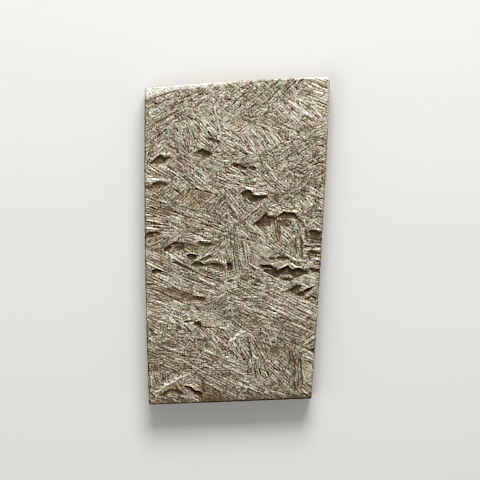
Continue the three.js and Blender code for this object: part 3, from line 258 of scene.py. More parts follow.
# Furrows of the front face, dark in the light that rakes it
FRONT_FURROWS = [
    Line(-8.35, 12.95, -7.0, 13.5, 0.13, -0.06),
    Line(-7.1, 13.45, -5.5, 13.95, 0.14, -0.08),
    Line(-8.5, 12.15, -6.7, 13.0, 0.12, -0.03),
    Line(-6.8, 12.95, -5.3, 13.45, 0.13, -0.06),
    Line(-3.9, 12.3, -3.0, 13.2, 0.14, -0.09),
    Line(-5.5, 13.05, -4.2, 13.55, 0.16, -0.1),
    Line(-4.0, 13.62, -3.2, 14.02, 0.16, -0.1),
    Line(-7.7, 12.68, -7.5, 12.82, 0.26, -0.14),
    Line(-5.4, 12.7, -5.0, 12.95, 0.16, -0.1),
    Line(-4.65, 12.5, -3.95, 12.32, 0.16, -0.1),
    Line(-4.0, 12.3, -3.2, 12.95, 0.14, -0.09),
    Line(-6.8, 11.35, -5.3, 12.15, 0.13, -0.07),
    Line(-5.9, 11.15, -4.7, 12.1, 0.14, -0.09),
    Line(-8.2, 10.55, -6.4, 11.55, 0.14, -0.08),
    Line(-7.95, 9.25, -6.5, 10.35, 0.15, -0.11),
    Line(-6.9, 10.72, -6.3, 10.85, 0.18, -0.1),
    Line(-4.65, 11.62, -4.1, 11.1, 0.15, -0.1),
    Line(-4.0, 11.95, -3.7, 11.82, 0.22, -0.17),
    Line(-2.55, 11.75, -2.2, 11.68, 0.2, -0.13),
    Line(-2.95, 10.8, -2.35, 10.5, 0.16, -0.12),
    Line(-2.75, 10.15, -2.2, 9.6, 0.15, -0.12),
    Line(-2.4, 11.1, -2.0, 10.68, 0.15, -0.12),
    Line(-6.8, 9.45, -6.4, 9.42, 0.24, -0.18),
    Line(-1.2, 12.2, -0.75, 11.95, 0.14, -0.1),
    Line(-0.95, 14.55, -0.25, 14.1, 0.18, -0.12),
    Line(-1.4, 13.2, -0.6, 13.1, 0.15, -0.1),
    Line(-0.5, 12.6, 0.45, 13.5, 0.16, -0.11),
    Line(-0.4, 11.9, 1.3, 13.4, 0.12, -0.06),
    Line(0.8, 12.3, 2.9, 14.2, 0.12, -0.06),
    Line(1.9, 12.2, 4.0, 14.1, 0.12, -0.06),
    Line(0.9, 14.5, 2.6, 12.9, 0.12, -0.06),
    Line(2.2, 14.6, 4.0, 12.9, 0.12, -0.06),
    Line(0.1, 14.0, 1.4, 12.7, 0.12, -0.06),
    Line(-2.0, 11.9, -0.3, 13.6, 0.12, -0.05),
    Line(3.0, 6.6, 5.0, 8.0, 0.13, -0.04),
    Line(5.1, 6.2, 7.9, 7.9, 0.12, -0.05),
    Line(4.6, 7.3, 7.0, 9.0, 0.12, -0.035),
    Line(0.15, 13.2, 0.9, 13.75, 0.15, -0.11),
    Line(0.5, 14.2, 1.0, 14.1, 0.17, -0.12),
    Line(1.2, 14.7, 1.45, 14.5, 0.2, -0.12),
    Line(1.0, 12.15, 2.0, 12.85, 0.14, -0.1),
    Line(2.0, 12.65, 2.7, 12.2, 0.14, -0.1),
    Line(0.6, 11.75, 1.3, 11.35, 0.16, -0.1),
    Line(2.3, 11.55, 3.0, 11.98, 0.15, -0.11),
    Line(3.0, 12.0, 3.75, 11.6, 0.15, -0.11),
    Line(2.6, 14.75, 3.0, 14.45, 0.16, -0.11),
    Line(3.3, 14.3, 3.85, 14.85, 0.14, -0.1),
    Line(4.5, 14.0, 5.6, 14.9, 0.16, -0.13),
    Line(4.05, 13.75, 4.4, 13.45, 0.14, -0.1),
    Line(3.3, 11.05, 5.95, 10.03, 0.16, -0.09),
    Line(6.7, 14.85, 8.5, 14.08, 0.18, -0.12),
    Line(7.5, 14.35, 8.45, 14.1, 0.14, -0.1),
    Line(6.4, 13.62, 7.5, 13.2, 0.16, -0.11),
    Line(7.3, 13.05, 8.45, 12.5, 0.16, -0.11),
    Line(6.0, 12.85, 6.8, 12.15, 0.14, -0.1),
    Line(4.95, 13.15, 5.75, 12.6, 0.15, -0.11),
    Line(6.0, 11.65, 7.0, 11.2, 0.2, -0.14),
    Line(6.0, 14.1, 6.6, 14.55, 0.14, -0.09),
    Line(0.0, 10.2, 0.3, 10.12, 0.24, -0.14),
    Line(2.2, 10.6, 2.8, 10.2, 0.16, -0.1),
    Line(5.2, 9.35, 5.75, 9.45, 0.16, -0.11),
    Line(4.5, 9.5, 4.78, 9.3, 0.26, -0.15),
    Line(4.0, 9.05, 4.2, 8.95, 0.2, -0.13),
    Line(2.95, 8.2, 4.0, 8.95, 0.15, -0.12),
    Line(-4.1, 9.5, -3.5, 9.43, 0.16, -0.11),
    Line(-3.5, 9.25, -2.2, 8.6, 0.16, -0.11),
    Line(-4.35, 8.8, -3.4, 8.5, 0.15, -0.1),
    Line(-1.5, 9.82, -1.05, 9.62, 0.18, -0.14),
    Line(-0.8, 8.8, 1.05, 7.95, 0.17, -0.12),
    Line(-1.25, 8.5, -0.1, 7.9, 0.15, -0.1),
    Line(-1.5, 7.77, -0.9, 7.5, 0.18, -0.13),
    Line(-5.6, 8.5, -5.35, 8.1, 0.14, -0.1),
    Line(-5.0, 8.7, -4.7, 8.3, 0.15, -0.11),
    Line(-4.95, 7.95, -4.75, 7.65, 0.26, -0.19),
    Line(-5.4, 7.8, -5.1, 7.5, 0.18, -0.12),
    Line(-6.5, 6.95, -5.85, 6.5, 0.15, -0.11),
    Line(-4.6, 6.95, -4.1, 6.65, 0.18, -0.11),
    Line(-5.15, 6.0, -4.15, 5.45, 0.16, -0.11),
    Line(-3.3, 6.75, -3.0, 6.55, 0.18, -0.1),
    Line(-2.5, 7.35, -2.2, 6.8, 0.14, -0.09),
    Line(2.0, 7.32, 2.4, 7.15, 0.15, -0.07),
    Line(2.2, 6.35, 3.1, 6.0, 0.14, -0.07),
    Line(0.35, 6.4, 0.85, 5.95, 0.14, -0.09),
    Line(4.85, 6.5, 5.65, 6.85, 0.15, -0.1),
    Line(5.6, 6.45, 6.1, 6.2, 0.17, -0.11),
    Line(7.0, 7.0, 7.65, 7.3, 0.16, -0.12),
    Line(7.6, 7.3, 8.3, 7.1, 0.16, -0.12),
    Line(7.4, 6.0, 8.25, 6.45, 0.16, -0.11),
    Line(7.1, 5.35, 7.8, 4.98, 0.16, -0.11),
    Line(7.4, 8.9, 8.3, 8.65, 0.18, -0.12),
    Line(7.5, 9.5, 8.3, 9.45, 0.17, -0.12),
    Line(-6.8, 4.6, -6.3, 4.95, 0.14, -0.09),
    Line(-5.9, 4.85, -5.4, 4.5, 0.14, -0.09),
    Line(-4.5, 4.78, -3.6, 4.84, 0.2, -0.13),
    Line(-3.6, 4.76, -2.3, 4.42, 0.18, -0.13),
    Line(-4.6, 4.3, -4.45, 4.72, 0.14, -0.08),
    Line(-3.9, 3.8, -3.4, 3.35, 0.16, -0.09),
    Line(-6.45, 3.8, -5.35, 3.3, 0.16, -0.12),
    Line(-7.0, 3.28, -5.1, 2.42, 0.2, -0.15),
    Line(-5.2, 2.45, -4.4, 2.08, 0.18, -0.14),
    Line(-5.1, 2.9, -4.7, 2.65, 0.18, -0.11),
    Line(-4.3, 2.9, -3.8, 2.68, 0.2, -0.14),
    Line(-8.05, 3.2, -7.3, 2.75, 0.2, -0.15),
    Line(-7.3, 2.7, -6.1, 2.25, 0.2, -0.14),
    Line(-8.3, 2.6, -7.2, 2.1, 0.16, -0.1),
    Line(-8.5, 1.75, -6.2, 1.35, 0.18, -0.13),
    Line(-5.15, 1.84, -4.35, 1.1, 0.18, -0.14),
    Line(-7.0, 2.03, -5.5, 1.44, 0.17, -0.12),
    Line(-4.9, 2.1, -4.35, 2.25, 0.22, -0.13),
    Line(-6.4, 1.0, -5.9, 1.35, 0.16, -0.1),
    Line(-3.5, 1.68, -0.95, 0.78, 0.19, -0.14),
    Line(-4.6, 0.95, -2.35, 0.05, 0.18, -0.13),
    Line(-5.5, 0.38, -4.2, -0.1, 0.16, -0.11),
    Line(-2.9, 3.1, -2.3, 2.0, 0.14, -0.09),
    Line(-2.2, 1.98, -1.4, 1.5, 0.16, -0.1),
    Line(-1.8, 3.6, -1.2, 3.9, 0.14, -0.08),
    Line(-1.02, 3.4, -0.98, 1.9, 0.15, -0.05),
    Line(-0.75, 3.15, -0.4, 2.85, 0.18, -0.13),
    Line(-0.5, 1.6, 0.05, 1.45, 0.22, -0.17),
    Line(-1.0, 0.55, -0.95, 0.1, 0.16, -0.1),
    Line(-1.9, 0.3, -1.2, 0.5, 0.15, -0.1),
    Line(0.6, 1.0, 2.3, 0.4, 0.15, -0.1),
    Line(0.3, 0.38, 1.8, -0.1, 0.16, -0.11),
    Line(2.0, -0.1, 3.65, -0.95, 0.17, -0.13),
    Line(2.7, 0.3, 3.6, 0.25, 0.14, -0.08),
    Line(3.1, 0.6, 3.45, 0.0, 0.14, -0.08),
    Line(3.3, 2.2, 3.45, 1.1, 0.2, -0.05),
    Line(3.6, 2.15, 3.8, 0.7, 0.22, -0.06),
    Line(3.5, 1.0, 3.7, 0.0, 0.2, -0.05),
    Line(3.9, 1.5, 3.95, 0.5, 0.14, -0.09),
    Line(4.4, 2.0, 5.1, 1.6, 0.15, -0.1),
    Line(3.85, -0.3, 5.0, -0.6, 0.14, -0.08),
    Line(4.8, 3.7, 5.25, 3.2, 0.2, -0.13),
    Line(4.1, 3.45, 4.85, 2.98, 0.15, -0.11),
    Line(3.1, 3.17, 3.7, 2.97, 0.13, -0.07),
    Line(3.6, 3.55, 4.2, 3.1, 0.13, -0.09),
    Line(3.0, 4.45, 3.4, 4.35, 0.22, -0.13),
    Line(5.85, 4.72, 6.6, 4.55, 0.2, -0.14),
    Line(5.7, 4.4, 6.4, 4.1, 0.15, -0.11),
    Line(6.3, 4.35, 7.9, 3.9, 0.14, -0.1),
    Line(7.0, 3.95, 7.6, 3.5, 0.17, -0.12),
    Line(5.95, 3.3, 6.12, 2.4, 0.17, -0.12),
    Line(6.25, 2.5, 6.95, 2.02, 0.15, -0.11),
    Line(7.0, 2.75, 8.1, 2.7, 0.16, -0.12),
    Line(7.2, 0.12, 7.95, 0.1, 0.14, -0.1),
    Line(6.8, -0.1, 7.95, -0.15, 0.18, -0.13),
    Line(6.15, -0.5, 7.95, -0.57, 0.19, -0.15),
    Line(6.6, -0.98, 7.8, -1.2, 0.26, -0.16),
    Line(7.1, -1.35, 7.8, -1.5, 0.18, -0.12),
    Line(7.2, -1.85, 7.75, -1.95, 0.18, -0.12),
    Line(5.4, 0.25, 5.52, -1.25, 0.23, -0.16),
    Line(5.9, 0.4, 6.04, -1.5, 0.24, -0.17),
    Line(6.34, 1.0, 6.5, -0.15, 0.26, -0.17),
    Line(6.5, -1.05, 6.8, -1.85, 0.22, -0.16),
    Line(0.42, 0.1, 0.72, -1.7, 0.16, -0.06),
    Line(-0.4, -0.7, -0.05, -3.0, 0.14, -0.08),
    Line(-0.05, -1.0, 0.25, -2.8, 0.14, -0.07),
    Line(0.2, -1.6, 0.45, -2.9, 0.13, -0.06),
    Line(-0.7, 1.2, -0.55, -0.6, 0.14, -0.06),
    Line(-0.3, 0.9, -0.2, -0.8, 0.13, -0.06),
    Line(0.05, -3.7, 0.13, -4.4, 0.15, -0.07),
    Line(4.15, -1.3, 4.35, -1.55, 0.16, -0.11),
    Line(2.3, -1.6, 2.9, -1.95, 0.16, -0.11),
    Line(3.3, -1.3, 4.1, -1.1, 0.16, -0.1),
    Line(1.0, -2.15, 1.7, -2.75, 0.17, -0.12),
    Line(4.8, -1.9, 5.2, -1.95, 0.18, -0.11),
    Line(5.6, -1.9, 5.95, -2.4, 0.14, -0.1),
    Line(6.2, -2.2, 6.45, -2.75, 0.14, -0.1),
    Line(1.15, -3.25, 1.75, -3.65, 0.2, -0.14),
    Line(1.6, -3.6, 2.4, -3.95, 0.22, -0.19),
    Line(0.3, -3.42, 1.0, -3.68, 0.19, -0.16),
    Line(1.35, -3.95, 2.15, -4.22, 0.25, -0.2),
    Line(-5.98, -1.93, -5.4, -2.1, 0.24, -0.16),
    Line(-5.6, -2.05, -3.5, -3.0, 0.22, -0.16),
    Line(-3.5, -2.1, -2.4, -2.48, 0.2, -0.16),
    Line(-2.4, -2.5, -1.6, -2.76, 0.17, -0.13),
    Line(-4.75, -3.1, -3.6, -3.15, 0.16, -0.1),
    Line(-4.85, -3.35, -2.2, -4.3, 0.17, -0.12),
    Line(-2.9, -3.3, -1.9, -3.62, 0.18, -0.1),
    Line(-2.05, -3.6, -1.3, -3.82, 0.2, -0.17),
    Line(-8.2, -1.7, -7.0, -2.1, 0.15, -0.1),
    Line(-7.1, -3.0, -5.9, -3.35, 0.17, -0.12),
    Line(-8.5, -4.0, -7.3, -4.1, 0.17, -0.12),
    Line(-8.2, -4.25, -5.0, -5.75, 0.2, -0.13),
    Line(-6.6, -5.0, -5.0, -5.6, 0.16, -0.1),
    Line(-3.9, -4.6, -3.3, -4.8, 0.16, -0.11),
    Line(-3.3, -4.4, -2.3, -4.45, 0.14, -0.09),
    Line(-1.25, -4.5, 0.1, -5.1, 0.18, -0.12),
    Line(-0.7, -4.35, -0.1, -4.75, 0.16, -0.11),
    Line(-2.2, -5.0, -1.6, -5.08, 0.16, -0.1),
    Line(2.5, -4.7, 3.2, -5.1, 0.14, -0.09),
    Line(3.3, -5.15, 3.7, -5.3, 0.19, -0.12),
    Line(2.2, -5.3, 3.0, -5.6, 0.15, -0.1),
    Line(-8.05, -6.95, -5.65, -7.85, 0.16, -0.1),
    Line(-8.5, -7.05, -7.4, -7.55, 0.17, -0.12),
    Line(-6.05, -7.0, -5.3, -7.7, 0.15, -0.11),
    Line(-4.95, -7.53, -3.98, -7.38, 0.22, -0.19),
    Line(-3.3, -7.97, -2.0, -8.05, 0.14, -0.11),
    Line(-2.1, -8.02, -0.9, -7.8, 0.14, -0.1),
    Line(-4.9, -7.75, -4.2, -8.6, 0.16, -0.1),
    Line(-5.6, -7.8, -5.2, -8.3, 0.14, -0.1),
    Line(-8.1, -8.0, -7.9, -8.5, 0.16, -0.09),
    Line(-7.9, -9.4, -7.0, -9.95, 0.16, -0.11),
    Line(-8.4, -8.6, -8.0, -9.0, 0.16, -0.1),
    Line(-3.65, -9.1, -2.8, -9.35, 0.16, -0.11),
    Line(-4.0, -8.9, -3.95, -9.9, 0.14, -0.05),
    Line(-3.9, -6.1, -3.3, -6.6, 0.17, -0.11),
    Line(-4.8, -6.6, -4.1, -6.95, 0.14, -0.09),
    Line(-1.9, -6.8, -0.9, -7.25, 0.16, -0.11),
    Line(0.1, -6.55, 1.05, -6.98, 0.17, -0.12),
    Line(0.3, -7.0, 1.0, -7.25, 0.2, -0.1),
    Line(1.5, -6.6, 3.1, -7.15, 0.15, -0.09),
    Line(1.1, -7.9, 1.6, -8.1, 0.16, -0.1),
    Line(3.95, -7.05, 5.2, -7.5, 0.17, -0.1),
    Line(5.1, -7.4, 7.1, -8.3, 0.15, -0.09),
    Line(6.4, -7.05, 7.45, -7.5, 0.19, -0.14),
    Line(6.45, -7.75, 7.1, -8.15, 0.16, -0.11),
    Line(6.45, -9.05, 7.1, -8.6, 0.17, -0.11),
    Line(5.6, -6.3, 5.95, -6.6, 0.16, -0.08),
    Line(3.25, -6.45, 3.65, -6.55, 0.16, -0.07),
    Line(0.95, -8.95, 1.35, -10.9, 0.22, -0.14),
    Line(1.6, -9.2, 1.95, -10.3, 0.16, -0.11),
    Line(-1.2, -9.0, -0.8, -9.2, 0.2, -0.11),
    Line(0.1, -9.0, 0.5, -8.95, 0.22, -0.16),
    Line(2.3, -9.4, 3.1, -9.72, 0.15, -0.08),
    Line(3.2, -9.35, 3.5, -9.4, 0.2, -0.12),
    Line(2.2, -8.0, 2.1, -8.9, 0.14, -0.08),
    Line(3.6, -8.9, 4.4, -9.3, 0.15, -0.09),
    Line(5.0, -9.25, 5.5, -9.6, 0.15, -0.1),
    Line(6.0, -9.75, 6.5, -10.0, 0.16, -0.11),
    Line(2.62, -9.95, 2.75, -10.4, 0.2, -0.12),
    Line(-1.5, -10.0, -1.0, -10.15, 0.18, -0.12),
    Line(-2.7, -9.9, -2.5, -9.7, 0.15, -0.1),
    Line(-5.05, -10.62, -4.35, -10.78, 0.22, -0.15),
    Line(-7.0, -10.1, -5.9, -10.3, 0.15, -0.09),
    Line(-7.2, -11.45, -6.45, -11.8, 0.14, -0.07),
    Line(-6.02, -12.13, -5.35, -12.32, 0.23, -0.16),
    Line(-7.05, -12.95, -6.3, -12.4, 0.17, -0.12),
    Line(-4.6, -11.6, -4.1, -12.02, 0.16, -0.11),
    Line(-2.4, -11.95, -2.0, -12.0, 0.17, -0.11),
    Line(-8.0, -14.5, -7.3, -15.0, 0.16, -0.1),
    Line(-3.2, -13.1, -3.0, -14.1, 0.24, -0.11),
    Line(-2.4, -13.4, -1.9, -13.9, 0.14, -0.09),
    Line(-1.4, -12.4, -0.9, -12.7, 0.16, -0.1),
    Line(1.0, -11.9, 1.0, -12.4, 0.16, -0.1),
    Line(1.6, -11.3, 1.72, -12.8, 0.18, -0.13),
    Line(2.05, -11.8, 2.3, -12.6, 0.17, -0.12),
    Line(2.3, -12.5, 2.85, -12.95, 0.18, -0.13),
    Line(2.5, -11.6, 3.05, -12.7, 0.17, -0.12),
    Line(3.1, -13.1, 3.5, -13.15, 0.22, -0.13),
    Line(4.9, -10.7, 4.82, -11.5, 0.2, -0.13),
    Line(3.3, -11.9, 4.0, -12.0, 0.14, -0.09),
    Line(5.2, -10.5, 5.35, -12.0, 0.16, -0.07),
    Line(5.85, -10.6, 6.05, -13.1, 0.18, -0.1),
    Line(5.6, -12.1, 5.7, -13.6, 0.15, -0.07),
    Line(5.22, -13.0, 5.4, -13.9, 0.19, -0.13),
    Line(5.1, -14.3, 5.4, -14.8, 0.18, -0.12),
    Line(6.4, -11.1, 7.1, -11.4, 0.18, -0.12),
    Line(6.3, -13.1, 6.9, -13.6, 0.17, -0.12),
    Line(6.0, -14.1, 6.6, -14.4, 0.16, -0.11),
    Line(3.5, -13.8, 4.4, -14.1, 0.14, -0.09),
    Line(0.5, -14.0, 1.5, -14.3, 0.14, -0.08),
    Line(2.3, -14.6, 3.0, -14.8, 0.18, -0.1),
]

# Ridges of the front face: resistant lamellae and the raised lips above hollows
FRONT_RIDGES = [
    Line(-8.2, 12.0, -7.8, 11.4, 0.3, 0.12),
    Line(-5.4, 11.6, -5.2, 11.3, 0.16, 0.07),
    Line(-3.8, 11.05, -3.05, 10.05, 0.19, 0.13),
    Line(-3.5, 11.0, -2.6, 9.8, 0.15, 0.09),
    Line(-3.1, 10.8, -2.2, 9.72, 0.15, 0.09),
    Line(-2.8, 11.0, -2.0, 10.1, 0.14, 0.09),
    Line(-3.35, 9.95, -3.0, 9.75, 0.18, 0.09),
    Line(-2.15, 12.5, -1.75, 11.0, 0.26, 0.08),
    Line(-1.8, 11.1, -1.45, 9.6, 0.3, 0.1),
    Line(-1.5, 13.6, -0.9, 12.4, 0.14, 0.05),
    Line(0.2, 12.3, 0.0, 12.1, 0.2, 0.07),
    Line(0.3, 13.9, 0.6, 13.75, 0.24, 0.08),
    Line(0.0, 10.2, 0.95, 10.95, 0.15, 0.07),
    Line(1.2, 11.2, 1.7, 11.35, 0.14, 0.08),
    Line(3.2, 11.9, 3.85, 11.45, 0.15, 0.08),
    Line(2.4, 13.6, 3.3, 12.3, 0.15, 0.04),
    Line(4.7, 12.95, 5.5, 12.3, 0.22, 0.09),
    Line(5.1, 12.75, 5.9, 12.05, 0.42, 0.12),
    Line(6.1, 12.05, 7.05, 11.4, 0.42, 0.12),
    Line(6.9, 10.05, 8.4, 11.05, 0.16, 0.06),
    Line(5.8, 12.8, 6.25, 12.0, 0.15, 0.09),
    Line(7.0, 11.7, 7.6, 11.05, 0.18, 0.09),
    Line(5.5, 13.2, 6.1, 12.8, 0.15, 0.07),
    Line(6.2, 14.7, 7.2, 13.85, 0.15, 0.06),
    Line(6.9, 13.95, 8.1, 13.5, 0.2, 0.05),
    Line(6.3, 13.05, 7.4, 12.6, 0.16, 0.07),
    Line(7.2, 12.6, 8.3, 12.1, 0.16, 0.07),
    Line(7.3, 12.0, 8.1, 11.2, 0.15, 0.07),
    Line(5.55, 11.3, 6.1, 10.4, 0.16, 0.08),
    Line(5.0, 11.5, 5.6, 10.75, 0.14, 0.07),
    Line(4.4, 12.0, 5.1, 11.2, 0.14, 0.06),
    Line(4.8, 12.35, 5.3, 11.8, 0.13, 0.06),
    Line(1.9, 10.0, 2.5, 9.2, 0.15, 0.08),
    Line(2.4, 10.1, 3.0, 9.2, 0.15, 0.08),
    Line(1.3, 9.3, 1.7, 8.4, 0.14, 0.07),
    Line(1.9, 9.3, 2.4, 8.5, 0.14, 0.07),
    Line(3.25, 9.8, 3.8, 9.1, 0.18, 0.09),
    Line(3.1, 9.4, 3.6, 8.75, 0.16, 0.06),
    Line(3.7, 9.9, 4.1, 9.3, 0.16, 0.08),
    Line(-0.6, 9.9, 0.2, 9.3, 0.15, 0.07),
    Line(-1.0, 9.3, -0.2, 9.0, 0.22, 0.08),
    Line(-0.2, 9.15, 0.8, 8.25, 0.2, 0.08),
    Line(0.2, 9.0, 1.2, 8.1, 0.16, 0.08),
    Line(1.2, 8.7, 2.0, 7.9, 0.15, 0.08),
    Line(-1.3, 8.5, -0.9, 8.2, 0.15, 0.07),
    Line(-1.45, 7.5, -0.9, 7.33, 0.24, 0.1),
    Line(2.7, 7.5, 3.0, 7.7, 0.16, 0.09),
    Line(4.1, 9.25, 4.6, 9.05, 0.18, 0.09),
    Line(4.0, 8.0, 5.0, 8.9, 0.14, 0.06),
    Line(5.6, 8.2, 6.6, 8.85, 0.16, 0.08),
    Line(4.0, 6.55, 4.5, 6.95, 0.16, 0.08),
    Line(3.4, 7.5, 3.1, 7.8, 0.14, 0.07),
    Line(7.2, 7.6, 7.8, 7.9, 0.18, 0.11),
    Line(8.0, 9.4, 8.3, 9.6, 0.2, 0.08),
    Line(8.0, 8.3, 8.3, 8.4, 0.2, 0.08),
    Line(-7.0, 8.05, -6.15, 8.05, 0.26, 0.1),
    Line(-8.3, 8.3, -8.4, 7.9, 0.24, 0.1),
    Line(-8.0, 5.72, -6.6, 5.62, 0.3, 0.11),
    Line(-8.5, 6.9, -7.2, 6.2, 0.13, 0.06),
    Line(-8.5, 6.55, -7.4, 5.95, 0.13, 0.06),
    Line(-8.0, 7.0, -6.6, 6.25, 0.13, 0.06),
    Line(-7.4, 7.05, -6.2, 6.35, 0.14, 0.07),
    Line(-6.9, 7.0, -5.6, 6.2, 0.14, 0.07),
    Line(-8.5, 6.2, -7.8, 5.8, 0.14, 0.07),
    Line(-5.1, 6.9, -4.4, 6.2, 0.13, 0.06),
    Line(-4.2, 6.4, -3.6, 5.5, 0.14, 0.07),
    Line(-3.9, 6.9, -3.2, 6.1, 0.13, 0.06),
    Line(-4.8, 5.5, -4.4, 5.2, 0.13, 0.06),
    Line(-2.9, 5.45, -2.6, 5.2, 0.22, 0.11),
    Line(-0.4, 6.85, 0.9, 6.3, 0.13, 0.07),
    Line(-1.2, 6.0, 0.4, 5.2, 0.14, 0.07),
    Line(-0.8, 5.7, 0.8, 5.0, 0.14, 0.07),
    Line(0.6, 5.95, 1.2, 5.3, 0.14, 0.05),
    Line(1.25, 5.95, 1.75, 5.45, 0.26, 0.09),
    Line(1.6, 5.8, 2.25, 5.15, 0.24, 0.09),
    Line(3.45, 5.75, 4.35, 4.75, 0.15, 0.08),
    Line(3.35, 5.1, 3.9, 4.5, 0.18, 0.12),
    Line(3.7, 5.15, 4.4, 4.4, 0.16, 0.09),
    Line(2.5, 5.5, 3.3, 4.6, 0.15, 0.06),
    Line(4.4, 5.9, 5.1, 5.5, 0.14, 0.06),
    Line(4.7, 5.6, 5.3, 5.2, 0.14, 0.06),
    Line(-3.85, 5.06, -3.05, 4.67, 0.22, 0.12),
    Line(-6.1, 3.9, -4.9, 4.85, 0.16, 0.1),
    Line(-7.0, 4.5, -6.6, 4.85, 0.14, 0.06),
    Line(-3.8, 2.85, -2.1, 4.28, 0.24, 0.14),
    Line(-7.05, 3.73, -6.4, 3.5, 0.24, 0.1),
    Line(-1.0, 4.0, -0.3, 2.7, 0.15, 0.08),
    Line(-0.8, 3.6, 0.15, 2.35, 0.17, 0.09),
    Line(-0.3, 4.0, 0.1, 3.2, 0.15, 0.08),
    Line(-1.0, 2.6, -0.4, 2.1, 0.15, 0.08),
    Line(-0.7, 1.9, -0.2, 0.8, 0.16, 0.07),
    Line(0.1, 3.9, 0.9, 2.9, 0.14, 0.05),
    Line(-0.3, 1.9, 0.1, 1.75, 0.28, 0.08),
    Line(-8.45, 1.98, -7.6, 1.8, 0.3, 0.11),
    Line(-7.7, 1.85, -6.8, 1.6, 0.26, 0.1),
    Line(-8.5, 1.22, -7.3, 1.08, 0.3, 0.07),
    Line(-7.6, 2.25, -6.4, 1.85, 0.13, 0.06),
    Line(-6.4, 2.42, -5.1, 1.86, 0.17, 0.1),
    Line(-5.35, 1.55, -4.8, 1.22, 0.15, 0.08),
    Line(-6.05, 0.95, -5.7, 0.55, 0.15, 0.07),
    Line(-3.7, 2.05, -2.2, 1.45, 0.13, 0.06),
    Line(-2.3, 1.35, -1.1, 0.9, 0.14, 0.07),
    Line(-4.0, 0.0, -3.3, 0.06, 0.18, 0.13),
    Line(-3.5, 0.06, -2.3, -0.03, 0.22, 0.12),
    Line(-7.4, -0.2, -7.2, -0.4, 0.22, 0.05),
    Line(0.75, 4.93, 1.3, 4.75, 0.28, 0.12),
    Line(1.3, 4.78, 1.6, 4.37, 0.28, 0.12),
    Line(1.5, 4.33, 2.3, 4.3, 0.3, 0.12),
    Line(2.2, 4.3, 2.85, 4.42, 0.28, 0.12),
    Line(0.4, 1.95, 2.8, 3.8, 0.19, 0.1),
    Line(4.2, 4.0, 5.6, 4.95, 0.17, 0.07),
    Line(2.57, 2.86, 3.0, 2.47, 0.3, 0.12),
    Line(2.9, 2.47, 3.5, 2.5, 0.3, 0.11),
    Line(2.75, 2.98, 3.5, 2.85, 0.14, 0.03),
    Line(3.0, 3.35, 3.8, 3.05, 0.14, 0.06),
    Line(3.85, 2.5, 4.35, 2.88, 0.26, 0.1),
    Line(4.3, 2.88, 4.85, 2.72, 0.28, 0.12),
    Line(4.8, 2.76, 5.6, 2.64, 0.28, 0.12),
    Line(4.8, 4.2, 5.3, 4.1, 0.26, 0.08),
    Line(4.2, 3.7, 4.65, 3.15, 0.16, 0.08),
    Line(5.85, 3.75, 6.2, 3.3, 0.24, 0.12),
    Line(6.4, 4.05, 6.9, 3.2, 0.18, 0.08),
    Line(6.95, 3.5, 6.85, 3.1, 0.16, 0.07),
    Line(6.7, 4.6, 7.8, 4.0, 0.15, 0.07),
    Line(7.3, 3.0, 8.1, 2.95, 0.17, 0.07),
    Line(6.35, 1.35, 7.15, 1.85, 0.2, 0.12),
    Line(6.2, 1.95, 6.34, 1.35, 0.15, 0.09),
    Line(6.15, -0.2, 6.6, -0.42, 0.16, 0.09),
    Line(5.98, 0.4, 6.2, 0.0, 0.14, 0.08),
    Line(5.52, 0.0, 5.88, -0.35, 0.15, 0.08),
    Line(7.15, 1.85, 7.95, 1.25, 0.2, 0.13),
    Line(7.1, 1.15, 7.9, 0.98, 0.16, 0.09),
    Line(6.6, -0.3, 7.85, -0.36, 0.14, 0.05),
    Line(6.1, -0.75, 6.9, -0.8, 0.2, 0.06),
    Line(6.9, -0.7, 7.85, -0.85, 0.24, 0.09),
    Line(7.0, -1.25, 7.8, -1.3, 0.12, 0.05),
    Line(7.05, -1.6, 7.7, -1.75, 0.2, 0.09),
    Line(1.7, 1.4, 2.5, 0.6, 0.14, 0.07),
    Line(2.8, 1.4, 3.05, 1.0, 0.16, 0.08),
    Line(2.9, 0.5, 3.45, -0.15, 0.18, 0.08),
    Line(2.3, -0.3, 3.2, -0.8, 0.15, 0.07),
    Line(4.05, 1.15, 4.7, 0.3, 0.16, 0.09),
    Line(4.55, 1.3, 5.3, 0.7, 0.17, 0.11),
    Line(4.0, 0.4, 5.0, -0.1, 0.14, 0.06),
    Line(5.0, 0.6, 5.4, 0.3, 0.14, 0.07),
    Line(0.6, 0.05, 0.95, -2.15, 0.18, 0.09),
    Line(-1.9, -0.8, -1.0, -1.3, 0.18, 0.06),
    Line(-0.1, -2.2, 0.0, -2.9, 0.15, 0.06),
    Line(-6.6, -1.1, -5.1, -2.0, 0.32, 0.12),
    Line(-5.9, -1.15, -4.8, -1.85, 0.24, 0.1),
    Line(-6.9, -0.9, -6.3, -1.3, 0.14, 0.06),
    Line(-4.75, -1.25, -4.3, -1.08, 0.18, 0.09),
    Line(-4.35, -1.08, -3.75, -1.25, 0.18, 0.09),
    Line(-5.0, -1.2, -4.6, -1.65, 0.14, 0.07),
    Line(-4.15, -1.88, -2.4, -1.13, 0.17, 0.1),
    Line(-2.95, -1.92, -2.4, -1.7, 0.18, 0.1),
    Line(-2.5, -1.7, -1.7, -1.78, 0.2, 0.1),
    Line(-1.8, -1.78, -0.95, -2.15, 0.18, 0.1),
    Line(-5.3, -2.0, -4.3, -2.3, 0.15, 0.05),
    Line(-8.6, -1.97, -6.4, -2.9, 0.18, 0.1),
    Line(-8.0, -1.4, -7.3, -1.75, 0.14, 0.06),
    Line(-4.2, -2.62, -1.85, -3.62, 0.18, 0.1),
    Line(-3.6, -2.3, -2.7, -2.7, 0.16, 0.09),
    Line(-3.7, -3.4, -1.9, -4.2, 0.16, 0.09),
    Line(-4.2, -4.95, -3.1, -5.12, 0.18, 0.09),
    Line(-8.5, -3.82, -7.4, -3.85, 0.16, 0.07),
